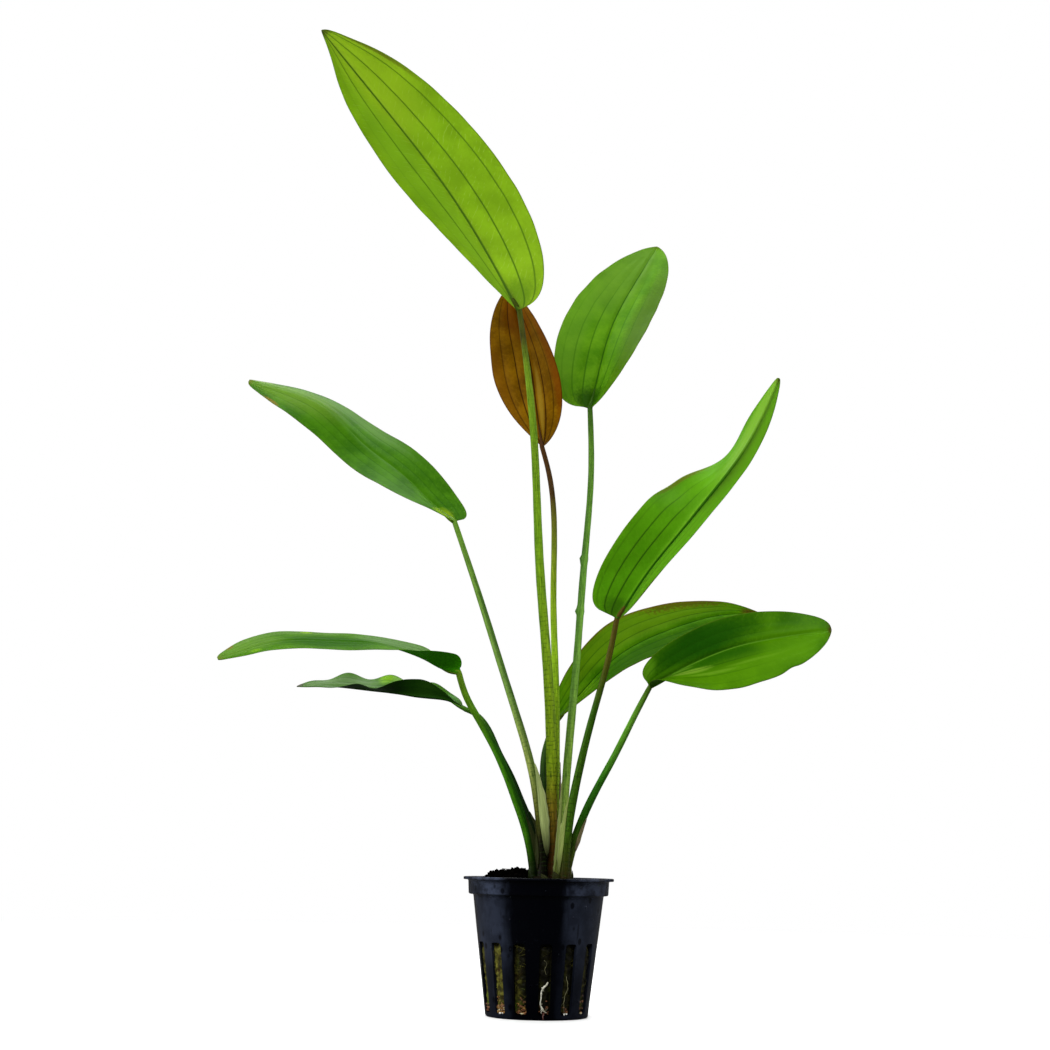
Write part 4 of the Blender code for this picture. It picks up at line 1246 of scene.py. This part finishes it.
def build_pot():
    """The moulded net pot: rounded flange and collar, slotted wall and floor."""
    lip = POT_HEIGHT - FLANGE_THICKNESS
    ledge = COLLAR_FOOT + WALL
    # The profile's corners as (radius, height), and how far each is rounded
    outline = (
        ((wall_radius(FLOOR) - WALL, FLOOR), 0.6),
        ((wall_radius(SLOT_TOP) - WALL, SLOT_TOP), 0.0),
        ((wall_radius(COLLAR_FOOT) - WALL, ledge), 0.3),
        ((COLLAR_RADIUS - WALL - COLLAR_DRAFT, ledge), 0.5),
        ((COLLAR_RADIUS - WALL, POT_HEIGHT), 0.35),
        ((FLANGE_RADIUS, POT_HEIGHT), 0.35),
        ((FLANGE_RADIUS, lip), 0.35),
        ((COLLAR_RADIUS, lip), 0.5),
        ((COLLAR_RADIUS - 0.25, COLLAR_FOOT), 0.6),
        ((BODY_TOP_RADIUS, COLLAR_FOOT), 0.5),
        ((wall_radius(SLOT_TOP), SLOT_TOP), 0.0),
        ((BODY_FOOT_RADIUS, 0), 0.75),
    )
    ends = [(0, FLOOR), *(point for point, _ in outline), (0, 0)]
    profile = [(0, FLOOR)]
    for i, (point, rounding) in enumerate(outline, start=1):
        profile += corner(ends[i - 1], point, ends[i + 1], rounding) if rounding else [point]
    pot = placed("pot_moulding", turned_mesh("pot_moulding", profile + [(0, 0)], POT_SIDES))
    slot_height = SLOT_TOP - SLOT_FOOT
    cutters = (
        ring_of_boxes("wall_slots", SLOT_COUNT, FRONT_SLOT_ANGLE, (SLOT_WIDTH, 10, slot_height), SLOT_CORNER,
                      (0, -20, SLOT_FOOT + slot_height / 2)),
        ring_of_boxes("floor_drains", DRAIN_COUNT, 0, (DRAIN_WIDTH, DRAIN_END - DRAIN_START, 4 * FLOOR), 0,
                      (0, -(DRAIN_START + DRAIN_END) / 2, FLOOR / 2)),
    )
    for cutter in cutters:
        cut = pot.modifiers.new(cutter.name, "BOOLEAN")
        cut.operation = "DIFFERENCE"
        cut.solver = "EXACT"
        cut.object = cutter
    mesh = modified(pot)
    pot.modifiers.clear()
    pot.data = mesh
    for cutter in cutters:
        bpy.data.objects.remove(cutter)
    mesh.materials.clear()
    mesh.materials.append(pot_material())
    mesh.shade_smooth()
    mesh.set_sharp_from_angle(angle=math.radians(SHARP_EDGE))
    dress(pot, "pot", "pot")


def fill_rise(slot):
    """How far the fibre swells into a slot; it leaves room for the roots in the front ones."""
    return FRONT_RISE if slot in (-1, 0, 1) else SIDE_RISE


def on_plug(slot, sideways, out, height):
    """A point beside the plug's wall, in millimetres."""
    angle = math.radians(FRONT_SLOT_ANGLE + 360 * slot / SLOT_COUNT)
    distance = wall_radius(height) - WALL - GAP + out + fill_rise(slot) - FRONT_RISE
    return np.array([sideways * math.cos(angle) + distance * math.sin(angle),
                     sideways * math.sin(angle) - distance * math.cos(angle), height])


def add_plug_wall(body, random):
    """The plug's uneven wall, which swells into the slots."""
    foot = FLOOR + GAP
    height, angle = np.meshgrid(np.linspace(foot, PLUG_TOP, 110), circle(336), indexing="ij")
    radius = wall_radius(height) - WALL - GAP
    around = angle * 20
    uneven = 0.5 * wobble(random, around, height, 2.2, 12) + 0.5 * wobble(random, around, height, 5.0, 9)
    edge = smooth(height, foot, foot + 1.0) * (1 - smooth(height, PLUG_TOP - 1.0, PLUG_TOP))
    turn = (np.degrees(angle) - FRONT_SLOT_ANGLE) / (360 / SLOT_COUNT)
    turn = (turn + SLOT_COUNT / 2) % SLOT_COUNT - SLOT_COUNT / 2
    nearest = np.round(turn)
    aside = (turn - nearest) * math.radians(360 / SLOT_COUNT) * radius
    bulge = smooth(height, 2.2, 3.6) * (1 - smooth(height, 23.6, 25.2))
    bulge = bulge * (1 - smooth(np.abs(aside), 1.2, 2.0))
    swell = np.where((nearest >= -1) & (nearest <= 1), FRONT_RISE, SIDE_RISE)
    radius = radius - 0.25 + (0.18 + 0.1 * bulge) * uneven - 0.8 * (1 - edge) + swell * bulge
    # Painted shade: each slot's fill by WOOL_SHADE, darker towards the slot's right side and its top, where
    # the pot's wall shades it
    shade = np.full_like(radius, WOOL_SHADE_BEHIND)
    for slot, dark in WOOL_SHADE.items():
        toward = smooth(aside, -0.6, 1.4) * (0.5 if -2 < slot < 3 else 0.1)
        shade = np.where(nearest == slot, dark + toward, shade)
    shade = np.clip(shade + 0.35 * smooth(height, 14.0, 25.0), 0, 1)
    add_rings(body, triples(radius * np.sin(angle), -radius * np.cos(angle), height),
              place=triples(shade, 0.0, 0.0))


def build_plug():
    """The pressed fibre plug: an uneven wall, loose fibres and grains where the slots show it."""
    random = np.random.default_rng(21)
    body = Body()
    add_plug_wall(body, random)
    share = np.linspace(-0.5, 0.5, 8)
    for slot in range(SLOT_COUNT):
        signed = slot if slot <= SLOT_COUNT / 2 else slot - SLOT_COUNT
        for _ in range(FIBRES_IN_A_SLOT):
            middle = random.uniform(-SLOT_REACH, SLOT_REACH), random.uniform(3.0, SLOT_TOP - 1.0)
            heading = random.normal(0.0, 0.9)
            length = random.uniform(1.2, 4.5)
            bend = random.normal(0, 0.5)
            side = middle[0] + share * length * math.cos(heading) + bend * share**2 * 3
            rise = middle[1] + share * length * math.sin(heading)
            out = 0.1 + 0.18 * np.cos(math.pi * share)
            route = [on_plug(slot, *point)
                     for point in zip(np.clip(side, -2.0, 2.0), out, np.clip(rise, 1.9, SLOT_TOP + 1))]
            # Painted shade on the loose fibres, a little less than their slot's fill
            shade = WOOL_SHADE.get(signed, WOOL_SHADE_BEHIND) * 0.8
            add_tube(body, route, np.full(8, random.uniform(0.035, 0.08)), 4,
                     place=np.tile((shade, 0, 0), (32, 1)))
    dress(body.piece("rock_wool_fibres", [wool_material()], 60), "rock_wool", "rock_wool_plug")

    grains = Body()
    for slot, count, kind in GRAIN_HEAPS:
        centres = []
        for _ in range(count):
            side = random.uniform(-1.7, 1.7)
            rise = 2.1 + abs(random.normal(0, 2.2))
            centres.append(on_plug(slot, side, random.uniform(0.1, 0.5), min(rise, 9.0)))
        add_crumbs(grains, centres, random.uniform(0.18, 0.42, count), random, slot=kind, flat=1.0)
    for slot, kind in ((-2, 3), (1, 3), (2, 2), (-1, 2)):
        spots = [on_plug(slot, random.uniform(-0.9, 0.9), 0.7, random.uniform(1.95, 2.3)) for _ in range(3)]
        add_crumbs(grains, spots, random.uniform(0.25, 0.4, 3), random, slot=kind, flat=1.0)
    dress(grains.piece("slot_grains", [grain_material(*grain) for grain in GRAINS]), "rock_wool")


def add_strand(body, slot, line, radii, sides, material=0):
    """A root along a line beside the plug, in one slot."""
    add_tube(body, [on_plug(slot, *point) for point in line], radii, sides, slot=material)


def build_roots():
    """White roots that have grown out of the plug, with fine side rootlets, and a brown one."""
    faint = root_material("root_faint", (112, 110, 76), (60, 58, 34))
    materials = ([root_material("root_pale", (216, 214, 196), (120, 118, 86)), faint], [faint],
                 [root_material("root_rust", (72, 32, 18), (40, 18, 10))])
    for number, (root, finishes) in enumerate(zip(ROOTS, materials), start=1):
        random = np.random.default_rng(40 + number)
        body = Body()
        share = np.linspace(0, 1, 60)
        line = along_route(root.route, share)
        line[:, 0] += 0.22 * wobble(random, line[:, 2], 0.0, 2.6) * smooth(share, 0, 0.1)
        line[:, 1] += 0.1 * wobble(random, line[:, 2], 3.0, 2.0)
        radii = root.radius * (0.85 - 0.35 * share) * (1 + 0.12 * wobble(random, share * 30, 0.0, 4.0))
        add_strand(body, root.slot, line, radii, 12)
        steps = np.linspace(0, 1, 16)[:, None]
        for _ in range(7 if number < 3 else 2):
            start = line[random.integers(5, 50)]
            drift = [random.uniform(low, high) for low, high in ((-1.2, 1.2), (-0.5, 0.1), (-2.5, 0.8))]
            twig = start + steps * np.array(drift)
            twig[:, 0] += 0.25 * wobble(random, steps[:, 0] * 5, 0.0, 1.8)
            twig = np.clip(twig, (-SLOT_REACH, 0.25, 0.35 if number == 3 else 2.0), (SLOT_REACH, 99, 99))
            add_strand(body, root.slot, twig, np.linspace(0.16, 0.07, 16) * (root.radius / 0.4), 6)
        for twig in root.twigs:
            line = along_route(twig, np.linspace(0, 1, 30))
            line[:, 0] += 0.12 * wobble(random, line[:, 2], 0.0, 1.6)
            add_strand(body, root.slot, line, np.linspace(0.11, 0.07, 30), 8, 1)
        dress(body.piece(f"root_{number}_strand", finishes), "root_brown" if number == 3 else "root_white",
              f"root_{number}")


def soil_height(x, y):
    """Height of the soil's broken surface, in millimetres."""
    random = np.random.default_rng(5)
    heaps = 0.0
    for heap_x, heap_y, height, spread in SOIL_HEAPS:
        away = np.hypot(x - heap_x, y - heap_y) / spread
        heaps = np.maximum(heaps, height * np.exp(-away**3))
    lumps = 0.35 * wobble(random, x, y, 3.0, 12) + 0.22 * wobble(random, x, y, 1.3, 14)
    return SOIL_LEVEL + heaps + lumps


def build_soil():
    """Black crumbly topping: a lumpy bed under loose crumbs and a few bits of fibre."""
    wide = COLLAR_RADIUS - WALL - COLLAR_DRAFT - GAP
    share = np.linspace(0.02, 1, 60)[:, None]
    angle = circle(150)
    x, y = share * wide * np.cos(angle), share * wide * np.sin(angle)
    z = np.minimum(soil_height(x, y), SOIL_LEVEL + 0.2 + (1 - share) * 60)
    body = Body()
    add_mound(body, x, y, z, COLLAR_FOOT + WALL + GAP)

    random = np.random.default_rng(6)
    for count, smallest, largest in SOIL_CRUMBS:
        radius = (wide - 1.2) * np.sqrt(random.uniform(0, 1, count))
        turn = random.uniform(0, TURN, count)
        x, y = radius * np.cos(turn), radius * np.sin(turn)
        clear = np.hypot(x - CROWN_CENTRE[0], y - CROWN_CENTRE[1]) > CROWN_RADIUS * 0.75
        x, y = x[clear], y[clear]
        sizes = random.uniform(smallest, largest, len(x))
        add_crumbs(body, triples(x, y, soil_height(x, y) + sizes * 0.25), sizes, random)
    share = np.linspace(0, 1, 7)
    for _ in range(SOIL_FIBRES):
        turn, radius = random.uniform(0, TURN), (wide - 3) * math.sqrt(random.uniform(0, 1))
        x, y = radius * math.cos(turn), radius * math.sin(turn)
        if math.dist((x, y), CROWN_CENTRE) < CROWN_RADIUS:
            continue
        heading = random.uniform(0, TURN)
        length = random.uniform(1.0, 3.4)
        rise = soil_height(x, y) + 0.3 + random.uniform(-0.1, 0.12) * share * length
        route = triples(x + share * length * math.cos(heading), y + share * length * math.sin(heading), rise)
        add_tube(body, route, np.full(7, random.uniform(0.06, 0.14)), 5)
    soil = grain_material("soil_crumb", (0, 0, 0), (6, 5, 4), 0.7, 0.0)
    dress(body.piece("soil_crumbs", [soil]), "soil", "soil_topping")


def build_crown():
    """The root stock: swollen under each stalk, with torn scales of old leaf bases round it."""
    random = np.random.default_rng(9)
    share = np.linspace(0.02, 1, 44)[:, None]
    angle = circle(96)[None, :]
    lobed = CROWN_RADIUS * (0.97 + 0.035 * np.cos(5 * angle + 0.6) + 0.02 * np.cos(3 * angle))
    x = CROWN_CENTRE[0] + share * lobed * np.cos(angle)
    y = CROWN_CENTRE[1] + share * lobed * np.sin(angle)
    z = np.full_like(x, CROWN_TOP)
    for foot_x, foot_y in STALK_FEET:
        z = np.maximum(z, CROWN_TOP + 2.6 * np.exp(-(np.hypot(x - foot_x, y - foot_y) / 3.0) ** 2))
    z = z + 0.18 * wobble(random, x, y, 1.8, 12) - 3.6 * smooth(share, 0.72, 1.0)
    body = Body()
    add_mound(body, x, y, z, PLUG_TOP + GAP)
    centre = np.array(CROWN_CENTRE)
    for i in range(SCALE_COUNT):
        heading = math.radians(40 * i + random.uniform(-12, 12))
        base = centre + 6.6 * np.array([math.cos(heading), math.sin(heading)])
        top = random.uniform(49.6, 51.2)
        line = np.array([[*base, 46.5], [*(base + 0.12 * (base - centre)), top]])
        scale = Sheath(0, math.degrees(heading) + 90, 47.0, top, random.uniform(1.6, 3.0), None, None)
        add_sheath(body, scale, line, np.array([0.4, 0.2]), 1, random)
    materials = [grain_material("crown_bark", (9, 7, 3), (28, 24, 10), 0.55, 0.03),
                 sheath_material("crown_scale", (26, 18, 9), 0.9)]
    dress(body.piece("crown_stock", materials), "crown", "crown")


def build_floor():
    """A wide pale floor that fades into the background, so that no edge shows."""
    bm = bmesh.new()
    bmesh.ops.create_circle(bm, cap_ends=True, segments=96, radius=STUDIO_RADIUS)
    mesh = bpy.data.meshes.new("studio_floor")
    bm.to_mesh(mesh)
    bm.free()
    tree = new_material("pale_floor")
    where = tree.position()
    grain = tree.noise(where, 60.0)
    far = tree.value(tree.node("VectorMath", where, operation="LENGTH"), "Value")
    pale = tree.surface(Base_Color=tree.mix(grain, (0.80, 0.80, 0.80), (0.84, 0.84, 0.84)), Roughness=0.7)
    glow = tree.fill(tree.node("Emission"), Color=BACKGROUND)
    dim = tree.fill(tree.node("BsdfDiffuse"), Color=FLOOR_BOUNCE)
    seen = tree.value(tree.node("LightPath"), "Is Camera Ray")
    tree.show(tree.blend(seen, dim, tree.blend(tree.step(far, 0.12, 0.9), pale, glow)))
    mesh.materials.append(tree.owner)
    placed("studio_floor", mesh)


def build_world():
    """The backdrop for the camera, and a dim grey room for all other light."""
    world = bpy.data.worlds.new("studio")
    bpy.context.scene.world = world
    tree = Tree(world)
    room = tree.fill(tree.nodes["Background"], Color=ROOM_GREY)
    backdrop = tree.fill(tree.node("Background"), Color=BACKGROUND)
    tree.show(tree.blend(tree.value(tree.node("LightPath"), "Is Camera Ray"), room, backdrop))


def build_lights():
    for name, place, width, height, power in LIGHTS:
        light = bpy.data.lights.new(name, "AREA")
        light.shape = "RECTANGLE"
        light.size, light.size_y, light.energy = width, height, power
        lamp = placed(name, light)
        lamp.location = place
        lamp.rotation_euler = (Vector(LIGHT_TARGET) - Vector(place)).to_track_quat("-Z", "Y").to_euler()
        lamp.visible_camera = False


def build_camera():
    camera = placed("camera", bpy.data.cameras.new("camera"))
    camera.data.sensor_width = 36.0
    camera.data.lens = CAMERA_LENS
    camera.data.clip_start = 0.01
    turn = Matrix.Rotation(math.radians(90 + CAMERA_PITCH), 4, "X") \
        @ Matrix.Rotation(math.radians(CAMERA_ROLL), 4, "Z")
    camera.matrix_world = Matrix.Translation(CAMERA_PLACE) @ turn
    bpy.context.scene.camera = camera
    bpy.context.scene.view_settings.view_transform = "Standard"


build_camera()
build_world()
build_lights()
build_floor()
build_pot()
build_plug()
build_soil()
build_crown()
build_roots()
build_leaves()
